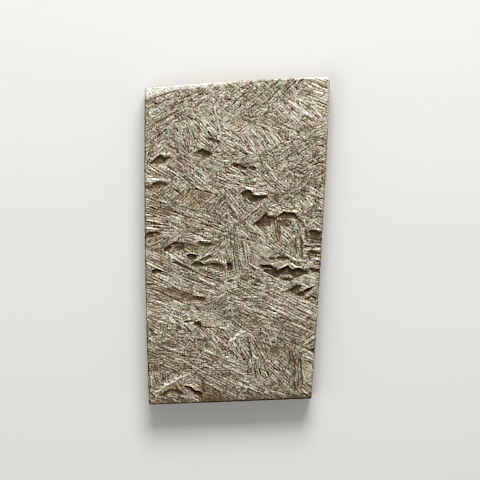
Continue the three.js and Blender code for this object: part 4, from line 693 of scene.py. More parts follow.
    Line(-8.3, -3.1, -7.2, -3.6, 0.13, 0.05),
    Line(-7.6, -3.2, -6.4, -3.8, 0.13, 0.05),
    Line(-6.1, -4.0, -5.2, -4.55, 0.18, 0.07),
    Line(-6.0, -5.6, -5.0, -6.0, 0.15, 0.07),
    Line(-8.0, -5.4, -6.2, -6.1, 0.13, 0.05),
    Line(-1.3, -4.4, -0.2, -4.9, 0.13, 0.06),
    Line(-1.2, -3.9, -0.5, -4.1, 0.15, 0.05),
    Line(1.2, -3.05, 1.85, -3.45, 0.26, 0.14),
    Line(1.0, -2.05, 1.95, -2.65, 0.17, 0.09),
    Line(2.3, -2.85, 3.3, -3.3, 0.16, 0.09),
    Line(3.1, -3.2, 4.1, -3.85, 0.16, 0.09),
    Line(2.4, -2.5, 3.2, -2.6, 0.13, 0.06),
    Line(3.0, -2.05, 3.35, -2.25, 0.22, 0.08),
    Line(3.9, -2.56, 4.65, -2.2, 0.26, 0.12),
    Line(4.7, -2.2, 5.2, -2.62, 0.2, 0.15),
    Line(4.8, -2.1, 5.45, -2.42, 0.17, 0.12),
    Line(4.3, -2.68, 4.75, -2.95, 0.11, 0.035),
    Line(3.7, -2.78, 4.15, -2.72, 0.1, 0.03),
    Line(5.35, -2.85, 5.75, -3.08, 0.11, 0.035),
    Line(2.95, -2.8, 3.35, -3.0, 0.1, 0.03),
    Line(5.25, -2.45, 6.0, -2.4, 0.28, 0.12),
    Line(6.05, -2.1, 6.4, -2.55, 0.16, 0.08),
    Line(5.1, -1.7, 6.4, -1.9, 0.14, 0.06),
    Line(6.1, -3.1, 7.5, -3.6, 0.2, 0.05),
    Line(5.85, -3.7, 6.15, -4.2, 0.26, 0.12),
    Line(6.2, -4.45, 7.15, -4.05, 0.18, 0.11),
    Line(4.1, -4.2, 5.0, -4.1, 0.2, 0.05),
    Line(6.7, -5.3, 7.1, -5.35, 0.2, 0.13),
    Line(3.0, -4.45, 4.1, -4.95, 0.15, 0.08),
    Line(1.9, -3.3, 2.6, -3.9, 0.14, 0.05),
    Line(3.5, -5.4, 4.1, -5.85, 0.15, 0.08),
    Line(5.1, -5.1, 6.3, -5.75, 0.16, 0.08),
    Line(5.9, -5.5, 6.9, -5.9, 0.26, 0.06),
    Line(5.5, -6.1, 7.1, -6.8, 0.15, 0.08),
    Line(6.2, -6.4, 6.9, -6.85, 0.22, 0.07),
    Line(3.0, -6.18, 4.65, -6.87, 0.18, 0.09),
    Line(1.1, -6.2, 2.2, -6.7, 0.14, 0.07),
    Line(2.1, -6.5, 3.1, -7.0, 0.13, 0.06),
    Line(0.3, -7.3, 1.0, -7.7, 0.18, 0.1),
    Line(4.9, -7.55, 7.15, -8.52, 0.2, 0.12),
    Line(6.4, -9.5, 7.25, -8.85, 0.22, 0.12),
    Line(7.3, -7.1, 7.45, -6.2, 0.16, 0.06),
    Line(2.2, -8.32, 3.0, -8.8, 0.17, 0.09),
    Line(2.4, -9.3, 3.7, -9.75, 0.15, 0.05),
    Line(-6.98, -6.9, -6.5, -7.5, 0.24, 0.09),
    Line(-6.35, -7.1, -5.65, -7.88, 0.26, 0.1),
    Line(-4.3, -6.35, -3.7, -6.75, 0.18, 0.08),
    Line(-4.6, -6.6, -4.2, -6.9, 0.15, 0.07),
    Line(-5.0, -7.35, -4.0, -7.2, 0.15, 0.06),
    Line(-5.1, -7.5, -4.2, -8.3, 0.14, 0.07),
    Line(-4.05, -7.85, -3.05, -8.95, 0.18, 0.09),
    Line(-3.9, -7.4, -3.2, -7.25, 0.2, 0.06),
    Line(-2.65, -8.2, -2.05, -8.85, 0.26, 0.12),
    Line(-2.3, -9.0, -1.65, -9.65, 0.26, 0.13),
    Line(-1.9, -9.05, -1.2, -9.7, 0.14, 0.08),
    Line(-1.6, -9.0, -0.9, -9.9, 0.13, 0.07),
    Line(-0.85, -9.3, 0.0, -8.95, 0.4, 0.1),
    Line(-0.15, -8.8, 0.3, -8.6, 0.3, 0.1),
    Line(0.3, -8.5, 0.9, -8.33, 0.32, 0.11),
    Line(0.0, -8.5, 0.4, -8.3, 0.2, 0.07),
    Line(-0.6, -9.2, -0.1, -9.9, 0.2, 0.09),
    Line(-3.85, -9.05, -3.7, -10.05, 0.16, 0.1),
    Line(-3.6, -9.9, -3.0, -9.5, 0.14, 0.06),
    Line(-8.2, -8.9, -7.3, -9.9, 0.14, 0.05),
    Line(-7.0, -9.7, -4.4, -10.65, 0.2, 0.11),
    Line(-6.6, -8.6, -5.9, -9.05, 0.16, 0.07),
    Line(-7.2, -10.6, -6.3, -10.85, 0.14, 0.03),
    Line(-3.1, -10.1, -1.9, -10.62, 0.2, 0.11),
    Line(-1.5, -10.5, -0.7, -10.9, 0.15, 0.07),
    Line(-1.3, -10.15, -0.9, -10.3, 0.16, 0.08),
    Line(0.4, -10.0, 1.0, -10.95, 0.16, 0.08),
    Line(0.7, -9.9, 1.2, -10.7, 0.14, 0.07),
    Line(1.8, -9.9, 2.4, -10.7, 0.15, 0.07),
    Line(1.35, -10.65, 2.05, -10.95, 0.17, 0.09),
    Line(2.9, -9.9, 2.95, -10.4, 0.18, 0.11),
    Line(6.1, -10.0, 7.3, -10.7, 0.16, 0.09),
    Line(5.95, -10.55, 7.25, -11.1, 0.18, 0.09),
    Line(-2.2, -11.2, -0.6, -11.85, 0.2, 0.12),
    Line(-0.7, -11.8, 1.0, -12.55, 0.22, 0.12),
    Line(-0.85, -11.02, 0.6, -11.58, 0.17, 0.09),
    Line(-5.05, -11.1, -3.75, -11.8, 0.2, 0.1),
    Line(-4.0, -11.65, -2.9, -12.3, 0.16, 0.08),
    Line(-3.1, -11.48, -2.0, -11.88, 0.17, 0.08),
    Line(-7.3, -11.2, -6.3, -11.75, 0.13, 0.06),
    Line(-5.8, -12.7, -5.4, -12.75, 0.26, 0.1),
    Line(-5.3, -12.45, -5.1, -12.6, 0.24, 0.09),
    Line(-6.6, -12.2, -6.3, -12.3, 0.22, 0.12),
    Line(-8.0, -12.5, -7.6, -13.2, 0.16, 0.06),
    Line(-6.95, -13.6, -6.3, -13.2, 0.42, 0.14),
    Line(-6.3, -13.25, -5.7, -12.9, 0.38, 0.13),
    Line(-5.75, -12.9, -5.1, -12.5, 0.38, 0.13),
    Line(-7.7, -14.0, -7.0, -13.8, 0.3, 0.12),
    Line(-7.3, -13.9, -6.8, -13.5, 0.22, 0.08),
    Line(-6.9, -13.2, -6.6, -13.4, 0.2, 0.07),
    Line(-5.0, -13.28, -4.2, -13.45, 0.16, 0.08),
    Line(-4.3, -13.4, -3.85, -13.8, 0.2, 0.12),
    Line(-3.9, -13.78, -3.35, -13.83, 0.16, 0.08),
    Line(-4.0, -12.75, -3.5, -13.0, 0.13, 0.06),
    Line(-3.1, -13.0, -2.0, -13.6, 0.16, 0.08),
    Line(-2.1, -13.55, -1.3, -13.9, 0.16, 0.08),
    Line(-1.6, -12.5, -1.1, -12.85, 0.2, 0.07),
    Line(0.3, -12.82, 1.05, -13.12, 0.19, 0.09),
    Line(0.1, -13.2, 1.0, -13.7, 0.28, 0.09),
    Line(1.1, -13.55, 1.95, -13.98, 0.26, 0.09),
    Line(1.15, -13.3, 1.5, -13.4, 0.15, 0.06),
    Line(2.6, -10.9, 3.8, -11.85, 0.16, 0.08),
    Line(3.2, -11.1, 4.2, -11.95, 0.14, 0.08),
    Line(4.0, -11.4, 4.9, -12.5, 0.16, 0.09),
    Line(3.5, -11.2, 3.9, -11.4, 0.18, 0.08),
    Line(2.6, -12.1, 2.9, -12.8, 0.16, 0.07),
    Line(6.05, -12.0, 6.35, -13.1, 0.2, 0.07),
    Line(6.15, -13.1, 7.0, -13.95, 0.15, 0.08),
    Line(6.05, -13.9, 6.7, -14.25, 0.17, 0.08),
    Line(3.3, -14.45, 3.8, -14.85, 0.2, 0.11),
    Line(3.7, -14.0, 4.6, -14.4, 0.17, 0.07),
    Line(2.5, -13.95, 2.9, -14.2, 0.24, 0.08),
    Line(2.0, -13.9, 2.5, -14.2, 0.18, 0.1),
    Line(-4.3, -14.4, -3.5, -14.9, 0.15, 0.07),
    Line(-5.6, -15.0, -5.0, -15.15, 0.16, 0.06),
    Line(-7.6, -14.3, -7.0, -14.6, 0.14, 0.06),
    Line(-6.5, -14.3, -5.5, -14.5, 0.13, 0.05),
]

# Fields of the front face as ellipses, with the way their lamellae run, how bright (a painted
# sheen) and deep they are, how needle-like, and how far the crossing lamellae are turned from the main ones
FRONT_ZONES = [
    Zone(-6.6, 11.6, 3.0, 2.2, 31, 0.05, 1.0, 0.2, -75),
    Zone(-3.9, 13.3, 2.2, 1.2, 28, 0.15, 1.0, 0.2, -75),
    Zone(-2.9, 10.5, 1.5, 1.1, -45, 0.3, 1.2, 1.0, 30),
    Zone(-2.6, 11.9, 1.2, 0.7, -48, 0.0, 1.0, 0.2, 80),
    Zone(0.2, 13.6, 2.2, 1.0, 40, 0.1, 1.2, 0.1, -80),
    Zone(2.2, 12.9, 2.2, 1.4, 38, 0.15, 1.1, 0.1, -85),
    Zone(4.8, 14.0, 1.6, 1.0, 42, -0.12, 1.0, 0.25, -85),
    Zone(0.3, 11.5, 1.6, 0.5, -20, -0.1, 0.6, 0.2, 50),
    Zone(0.2, 10.7, 1.2, 0.6, -20, 0.35, 0.6, 0.2, 50),
    Zone(2.9, 11.0, 1.6, 0.8, -22, -0.05, 1.0, 0.3, 65),
    Zone(6.3, 12.2, 1.7, 0.9, -42, 0.5, 1.2, 1.0, 20),
    Zone(4.9, 11.5, 1.2, 1.0, -47, 0.2, 0.8, 0.9, 20),
    Zone(7.4, 13.6, 1.6, 1.5, -21, 0.3, 0.5, 0.9, 20),
    Zone(2.0, 9.2, 1.6, 1.1, -50, 0.25, 0.9, 0.9, 25),
    Zone(3.4, 9.0, 1.0, 0.7, -56, 0.68, 0.9, 0.9, 25),
    Zone(-0.6, 9.1, 1.5, 0.8, -35, 0.1, 1.0, 0.8, 20),
    Zone(4.6, 10.3, 1.6, 0.7, -22, 0.05, 0.8, 0.3, 40),
    Zone(7.9, 10.5, 0.8, 1.1, -35, 0.3, 0.8, 0.4, 50),
    Zone(6.9, 8.9, 1.8, 2.0, 24, -0.05, 1.0, 0.15, -60),
    Zone(7.2, 6.8, 1.6, 1.2, 24, -0.1, 0.9, 0.2, -55),
    Zone(4.8, 8.1, 1.4, 1.1, 32, -0.05, 0.9, 0.1, -65),
    Zone(-5.2, 9.7, 1.1, 1.5, -72, -0.12, 1.0, 0.1, 40),
    Zone(-7.6, 9.2, 1.2, 1.2, 36, 0.05, 1.0, 0.2, -70),
    Zone(-7.2, 6.5, 1.8, 0.8, -31, -0.05, 1.0, 1.0, 20),
    Zone(-7.0, 5.75, 1.3, 0.3, -5, 0.45, 0.8, 0.7, 30),
    Zone(-4.7, 7.3, 1.6, 0.7, -36, 0.22, 0.9, 0.7, 20),
    Zone(-3.8, 5.9, 1.9, 0.8, -38, -0.15, 0.9, 0.7, 20),
    Zone(-1.7, 7.3, 1.1, 1.0, -20, -0.1, 0.7, 0.4, 60),
    Zone(0.9, 7.7, 2.2, 0.8, -18, -0.05, 0.9, 0.7, 30),
    Zone(2.9, 7.8, 0.9, 0.5, -40, -0.2, 0.9, 0.4, 60),
    Zone(0.2, 5.8, 2.0, 1.1, -25, -0.05, 1.1, 0.95, 15),
    Zone(3.4, 5.9, 1.7, 1.0, -44, -0.1, 1.1, 0.8, 25),
    Zone(4.2, 4.0, 1.9, 0.4, 33, -0.45, 0.6, 0.3, -70),
    Zone(5.9, 5.6, 1.6, 1.1, -20, -0.34, 0.9, 0.35, 60),
    Zone(7.3, 4.3, 1.2, 1.0, -30, 0.05, 1.0, 0.8, 30),
    Zone(-6.1, 2.6, 2.4, 1.0, -19, -0.15, 0.7, 0.8, 20),
    Zone(-6.2, 4.4, 1.4, 0.7, 38, -0.2, 1.0, 0.5, -80),
    Zone(-3.9, 3.9, 1.4, 0.8, -10, -0.2, 0.4, 0.15, 60),
    Zone(-1.6, 3.0, 1.0, 1.2, 55, -0.3, 0.9, 0.35, -75),
    Zone(-0.2, 3.5, 1.5, 1.0, -52, -0.25, 1.1, 0.8, 20),
    Zone(1.4, 2.6, 1.7, 0.8, 38, -0.42, 0.8, 0.3, -75),
    Zone(3.6, 3.2, 0.9, 0.5, -15, 0.15, 0.8, 0.5, 40),
    Zone(2.4, 4.9, 1.0, 0.4, -22, 0.35, 0.9, 0.6, 30),
    Zone(-2.3, 1.4, 2.4, 1.1, -20, 0.0, 1.0, 0.7, 20),
    Zone(-7.7, 1.4, 1.3, 0.9, -5, 0.22, 1.2, 0.8, 20),
    Zone(-7.2, -0.3, 1.2, 0.7, 30, 0.05, 1.0, 0.4, -70),
    Zone(1.8, 0.9, 1.6, 0.8, -42, 0.0, 1.0, 0.8, 25),
    Zone(3.7, 0.9, 1.4, 0.3, -82, -0.3, 1.0, 0.6, 40),
    Zone(4.6, 0.7, 1.0, 0.7, -46, 0.25, 1.2, 1.0, 20),
    Zone(6.8, 3.4, 1.3, 0.8, -48, 0.2, 1.2, 0.8, 30),
    Zone(6.6, 2.1, 0.4, 0.7, -65, -0.1, 0.2, 0.2, 40),
    Zone(7.4, 2.2, 0.8, 0.7, -12, 0.05, 1.1, 0.5, 40),
    Zone(5.7, -0.3, 1.0, 0.6, -86, 0.05, 0.7, 0.5, 60),
    Zone(7.3, -0.7, 0.8, 1.6, -12, -0.15, 1.0, 0.6, 25),
    Zone(-0.1, -1.2, 0.8, 2.0, -78, -0.1, 1.0, 0.5, 50),
    Zone(-1.1, 1.0, 0.5, 1.6, -80, -0.1, 1.0, 0.4, 50),
    Zone(1.9, -1.1, 1.2, 0.9, -32, -0.08, 0.4, 0.3, 40),
    Zone(3.8, -0.6, 1.5, 0.6, -33, 0.05, 0.8, 0.8, 25),
    Zone(-1.8, -0.9, 1.1, 0.7, 42, -0.05, 0.6, 0.4, -75),
    Zone(-6.2, -3.0, 2.4, 1.0, -26, -0.15, 0.9, 0.9, 12),
    Zone(-7.2, -1.5, 1.4, 0.7, -26, 0.1, 0.9, 0.9, 12),
    Zone(-6.9, -5.4, 2.4, 1.0, -19, -0.2, 0.7, 0.8, 20),
    Zone(-3.9, -3.3, 1.8, 0.7, -22, -0.35, 0.8, 0.9, 20),
    Zone(-3.0, -4.7, 1.5, 0.4, -20, 0.15, 0.7, 0.6, 25),
    Zone(0.2, -4.2, 1.8, 1.0, -26, 0.0, 1.0, 0.5, 40),
    Zone(3.4, -4.8, 2.0, 0.8, -24, 0.15, 0.9, 0.5, 40),
    Zone(2.3, -3.5, 1.4, 0.5, -30, -0.2, 1.0, 0.7, 25),
    Zone(6.9, -3.6, 0.9, 0.5, -22, 0.15, 0.5, 0.4, 40),
    Zone(6.0, -6.2, 1.9, 1.0, -28, 0.02, 1.0, 0.9, 20),
    Zone(2.2, -6.1, 2.3, 1.0, -24, -0.04, 1.0, 0.7, 25),
    Zone(-1.0, -5.9, 1.7, 0.9, -20, -0.2, 0.6, 0.25, 50),
    Zone(-6.8, -6.6, 1.9, 0.9, -22, 0.25, 0.8, 0.5, 30),
    Zone(-5.2, -7.2, 1.9, 0.7, -42, 0.38, 1.0, 0.7, 25),
    Zone(-4.5, -8.7, 1.4, 0.6, -38, -0.22, 0.9, 0.4, 35),
    Zone(-2.2, -7.4, 1.4, 0.5, -14, 0.35, 0.5, 0.4, 20),
    Zone(0.9, -7.6, 1.4, 0.9, -35, -0.18, 0.9, 0.6, 30),
    Zone(-1.6, -9.2, 1.1, 0.8, -50, -0.05, 1.1, 0.9, 20),
    Zone(0.1, -8.8, 1.0, 0.4, 25, 0.6, 1.0, 0.2, 60),
    Zone(-3.2, -9.7, 0.6, 0.6, 10, -0.3, 0.5, 0.3, 60),
    Zone(4.0, -8.3, 2.4, 0.9, -24, -0.25, 0.8, 0.4, 50),
    Zone(6.6, -9.2, 1.0, 0.7, 33, 0.0, 0.9, 0.5, -60),
    Zone(-6.4, -9.3, 2.0, 0.9, -32, -0.22, 0.9, 0.4, 35),
    Zone(-6.5, -11.4, 1.6, 0.8, -22, -0.58, 1.0, 0.6, 30),
    Zone(-4.6, -11.3, 1.4, 0.7, -27, -0.05, 1.0, 0.8, 25),
    Zone(-2.7, -10.6, 1.9, 0.9, -26, -0.2, 1.0, 0.7, 30),
    Zone(0.3, -10.2, 1.0, 0.9, -56, -0.12, 1.1, 0.8, 30),
    Zone(2.2, -10.4, 1.2, 1.0, -62, 0.0, 1.1, 0.6, 40),
    Zone(2.0, -12.0, 1.0, 1.0, -76, 0.08, 1.1, 0.6, 55),
    Zone(-0.7, -11.8, 2.4, 0.9, -23, -0.1, 1.0, 0.8, 25),
    Zone(3.8, -11.6, 1.3, 1.0, -45, 0.1, 0.9, 0.7, 30),
    Zone(3.4, -10.3, 0.7, 0.5, -40, -0.3, 0.4, 0.2, 50),
    Zone(5.5, -12.4, 2.2, 0.45, -84, -0.55, 1.1, 0.6, 30),
    Zone(6.7, -11.8, 0.8, 1.2, -28, 0.22, 0.3, 0.2, 45),
    Zone(-5.5, -12.7, 1.4, 0.7, 26, 0.4, 1.0, 0.3, -70),
    Zone(-7.9, -12.9, 0.5, 1.8, -80, -0.1, 1.0, 0.4, 50),
    Zone(-4.9, -14.6, 2.6, 0.5, -26, 0.0, 0.9, 0.5, 40),
    Zone(-2.3, -14.3, 1.0, 0.8, -60, -0.35, 0.8, 0.3, 50),
    Zone(-2.3, -12.9, 1.8, 0.7, -26, -0.2, 0.9, 0.7, 30),
    Zone(0.9, -13.0, 1.8, 0.7, -24, 0.25, 0.9, 0.5, 40),
    Zone(2.9, -14.2, 2.4, 0.7, -20, -0.25, 0.9, 0.4, 50),
    Zone(6.1, -14.0, 0.8, 0.6, -42, -0.15, 0.9, 0.6, 40),
]

# Hollows and fields of the back face, which the same saw and acid have worked
BACK_HOLLOWS = [
    Hollow([(4.4, 10.5), (5.0, 10.9), (5.7, 11.2), (6.5, 11.3), (6.1, 10.9), (5.6, 10.5),
            (5.0, 10.4)], 0.3, 0.5, 0.8),
    Hollow([(2.4, 12.0), (3.1, 12.4), (3.9, 12.4), (3.6, 12.1), (3.0, 11.9)], 0.24, 0.2, 0.8),
    Hollow([(-5.9, 9.1), (-5.2, 9.6), (-4.5, 9.8), (-3.9, 9.7), (-4.4, 9.3), (-5.2, 9.0)], 0.3, 0.6, 0.8),
    Hollow([(-7.4, 6.5), (-6.8, 6.8), (-5.9, 6.8), (-6.2, 6.5), (-6.9, 6.3)], 0.24, 0.2, 0.8),
    Hollow([(4.9, 4.4), (5.7, 4.5), (6.7, 4.1), (6.6, 3.9), (5.9, 4.0), (5.3, 4.1)], 0.28, 0.6, 0.8),
    Hollow([(-7.0, -2.0), (-6.2, -1.4), (-5.4, -1.2), (-4.9, -1.3), (-5.4, -1.7),
            (-6.1, -2.0)], 0.3, 0.7, 0.8),
    Hollow([(-5.3, -3.3), (-4.7, -2.9), (-3.9, -2.9), (-4.2, -3.2), (-4.7, -3.4)], 0.24, 0.2, 0.8),
    Hollow([(4.1, -5.4), (4.8, -4.8), (5.6, -4.4), (6.3, -4.4), (5.8, -4.9), (5.2, -5.3)], 0.32, 0.5, 0.8),
    Hollow([(3.0, -7.0), (3.6, -6.5), (4.3, -6.2), (4.2, -6.5), (3.7, -6.9)], 0.24, 0.2, 0.8),
    Hollow([(-2.6, -8.6), (-1.9, -8.1), (-1.0, -8.0), (-1.4, -8.4), (-2.0, -8.6)], 0.26, 0.7, 0.8),
    Hollow([(-6.8, -11.1), (-6.0, -10.5), (-4.9, -10.4), (-5.3, -10.8), (-6.1, -11.1)], 0.28, 0.5, 0.8),
    Hollow([(2.6, -12.6), (3.2, -12.0), (4.1, -11.6), (4.0, -12.0), (3.4, -12.5)], 0.28, 0.3, 0.8),
]
BACK_ZONES = [
    Zone(-4.6, 12.0, 3.4, 2.0, 22, 0.0, 1.0, 0.6, 40),
    Zone(1.0, 11.4, 2.6, 2.0, 34, 0.1, 1.0, 0.8, 60),
    Zone(5.4, 8.2, 3.0, 2.2, -40, 0.0, 1.0, 0.7, 50),
    Zone(-5.6, 7.6, 2.6, 1.6, 22, -0.1, 1.0, 0.4, 60),
    Zone(-0.6, 7.0, 2.6, 1.8, 24, 0.1, 1.0, 0.8, 40),
    Zone(-5.4, 3.2, 2.6, 2.0, 40, 0.1, 1.0, 0.6, 60),
    Zone(0.8, 2.4, 3.0, 2.2, 22, 0.0, 1.0, 0.8, 50),
    Zone(6.0, 1.0, 2.4, 2.2, 28, -0.1, 1.0, 0.4, 60),
    Zone(-4.8, -2.2, 2.8, 1.8, 20, 0.0, 1.0, 0.7, 40),
    Zone(0.4, -3.0, 2.0, 2.4, 68, -0.1, 1.0, 0.6, 50),
    Zone(4.8, -4.2, 2.6, 1.8, 22, 0.1, 1.0, 0.8, 40),
    Zone(-5.2, -6.6, 2.8, 2.0, 26, 0.0, 1.0, 0.4, 60),
    Zone(0.6, -7.4, 2.8, 1.8, 24, 0.1, 1.0, 0.7, 50),
    Zone(4.8, -9.4, 2.2, 2.0, 36, 0.0, 1.0, 0.6, 40),
    Zone(-5.0, -11.8, 2.8, 1.8, 20, 0.0, 1.0, 0.7, 60),
    Zone(0.4, -12.2, 2.4, 1.8, 60, 0.1, 1.0, 0.6, 40),
    Zone(4.4, -13.4, 2.0, 1.4, 30, 0.0, 1.0, 0.5, 50),
]


def smooth(low, high, value):
    """0 below low, 1 above high, and smooth between them."""
    share = np.clip((value - low) / (high - low), 0.0, 1.0)
    return share * share * (3.0 - 2.0 * share)


def value_noise(x, y, seed):
    """Smooth noise from -1 to 1 over the plane, with one random value per unit square."""
    table = np.random.default_rng(SEED + seed).uniform(-1.0, 1.0, (NOISE_CELLS, NOISE_CELLS))
    column, row = np.floor(x).astype(int), np.floor(y).astype(int)
    across, up = smooth(0.0, 1.0, x - column), smooth(0.0, 1.0, y - row)
    left, right = column % NOISE_CELLS, (column + 1) % NOISE_CELLS
    lower, upper = row % NOISE_CELLS, (row + 1) % NOISE_CELLS
    low = table[lower, left] * (1 - across) + table[lower, right] * across
    high = table[upper, left] * (1 - across) + table[upper, right] * across
    return low * (1 - up) + high * up


def layered_noise(x, y, seed, layers=3):
    """Several value noises, each twice as fine and half as strong as the one before."""
    total = np.zeros(np.broadcast(x, y).shape)
    for layer in range(layers):
        finer = 2.0**layer
        total = total + value_noise(x * finer + 7.3 * layer, y * finer, seed + layer) / finer
    return total / 1.8


class Outline:
    """The slice's outline, from shares along its width and length to a place in millimetres."""

    def __init__(self):
        half_width, half_length = WIDTH / 2, LENGTH / 2
        self.top_left = np.array([-half_width + TOP_LEFT_INSET, half_length - TOP_LEFT_DROP])
        self.top_right = np.array([half_width, half_length])
        self.bottom_right = np.array([half_width - BOTTOM_RIGHT_INSET, -half_length + BOTTOM_RIGHT_RISE])
        self.bottom_left = np.array([-half_width + BOTTOM_LEFT_INSET, -half_length])

    @staticmethod
    def side(start, end, bow, share):
        """Places along a side from start to end, which bows out to its left."""
        run = end - start
        out = np.array([-run[1], run[0]]) / np.hypot(*run)
        return start + run * share[..., None] + out * (4.0 * bow * share * (1.0 - share))[..., None]

    def place(self, u, v):
        """The place at shares u of the width and v of the length, blended from the four sides."""
        bottom = self.side(self.bottom_left, self.bottom_right, -BOTTOM_BOW, u)
        top = self.side(self.top_left, self.top_right, TOP_BOW, u)
        left = self.side(self.bottom_left, self.top_left, LEFT_BOW, v)
        right = self.side(self.bottom_right, self.top_right, -RIGHT_BOW, v)
        u, v = u[..., None], v[..., None]
        corners = (
            self.bottom_left * (1 - u) * (1 - v)
            + self.bottom_right * u * (1 - v)
            + self.top_left * (1 - u) * v
            + self.top_right * u * v
        )
        return bottom * (1 - v) + top * v + left * (1 - u) + right * u - corners


OUTLINE = Outline()


def rounded(a, b):
    """Moves distances from the left and bottom sides so that the four corners are round."""
    a, b = a.copy(), b.copy()
    corners = [(0, 0, SHARP_CORNER), (1, 0, SHARP_CORNER), (0, 1, SHARP_CORNER), (1, 1, WORN_CORNER)]
    for right, top, radius in corners:
        from_side = WIDTH - a if right else a
        from_end = LENGTH - b if top else b
        sideways, endways = radius - from_side, radius - from_end
        inside = (sideways > 0) & (endways > 0)
        reach = np.maximum(np.hypot(sideways, endways), 1e-9)
        share = np.where(inside, np.maximum(sideways, endways) / reach, 1.0)
        new_a, new_b = radius - sideways * share, radius - endways * share
        a = np.where(inside, WIDTH - new_a if right else new_a, a)
        b = np.where(inside, LENGTH - new_b if top else new_b, b)
    return a, b


# Notches where lamellae run out through the right and left sides: place, depth, half width
RIGHT_NOTCHES = [
    (8.9, 0.1, 0.12), (7.3, 0.08, 0.15), (6.4, 0.1, 0.12), (5.0, 0.08, 0.12), (4.3, 0.1, 0.1),
    (3.3, 0.1, 0.1), (2.7, 0.14, 0.12), (1.9, 0.13, 0.12), (1.15, 0.12, 0.1), (0.6, 0.2, 0.25),
    (-0.1, 0.14, 0.1), (-0.55, 0.12, 0.1), (-1.15, 0.16, 0.12), (-1.9, 0.12, 0.1),
    (-2.7, 0.2, 0.14), (-4.4, 0.1, 0.2), (-5.4, 0.16, 0.12), (-7.5, 0.12, 0.12),
    (-8.4, 0.08, 0.12), (-10.1, 0.16, 0.14), (-11.3, 0.08, 0.1), (-12.8, 0.1, 0.14),
]
LEFT_NOTCHES = [
    (13.3, 0.08, 0.2), (11.0, 0.06, 0.12), (8.9, 0.08, 0.14), (6.8, 0.06, 0.12), (4.95, 0.12, 0.12),
    (3.0, 0.06, 0.14), (0.6, 0.1, 0.14), (-2.4, 0.12, 0.14), (-5.0, 0.08, 0.12), (-7.6, 0.08, 0.14),
    (-9.9, 0.06, 0.12), (-12.6, 0.08, 0.16), (-14.6, 0.08, 0.12),
]


def side_pull(side, run, z):
    """How far a side is worn in from the outline, at a place along it and a height."""
    slow = 0.012 * (1 + layered_noise(run / 2.1, z / 1.5, 40 + side))
    fine = 0.02 * (1 + layered_noise(run / 0.33, z / 1.1, 50 + side))
    pull = slow + fine
    lean = NOTCH_LEAN * (THICKNESS - z)
    fade = 0.35 + 0.65 * smooth(0.4, THICKNESS, z)
    for place, depth, half in {0: LEFT_NOTCHES, 1: RIGHT_NOTCHES}.get(side, []):
        pull = pull + depth * fade * np.exp(-(((run - place + lean) / half) ** 2))
    return pull


def slice_place(a, b, z):
    """X and Y of a place on the slice, from its distances from the left and bottom sides."""
    a_round, b_round = rounded(a, b)
    place = OUTLINE.place(a_round / WIDTH, b_round / LENGTH)
    x, y = place[..., 0], place[..., 1]
    pulls = [(0, a, y, 0, 1), (1, WIDTH - a, y, 0, -1), (2, b, x, 1, 1), (3, LENGTH - b, x, 1, -1)]
    moves = [np.zeros_like(x), np.zeros_like(y)]
    for side, distance, run, axis, sign in pulls:
        falloff = np.clip(1 - distance / SIDE_WEAR_REACH, 0, 1) ** 3
        moves[axis] = moves[axis] + sign * falloff * side_pull(side, run, z)
    return x + moves[0], y + moves[1]


def grid_lines(total):
    """Even steps from 0 to total, with finer steps at both ends and an even number of cells."""
    ends = np.concatenate([[0.0], np.cumsum(EDGE_STEPS)])
    inner = total - 2 * ends[-1]
    count = 2 * round(inner / FRONT_CELL / 2)
    middle = ends[-1] + inner * np.arange(1, count) / count
    return np.concatenate([ends, middle, total - ends[::-1]])


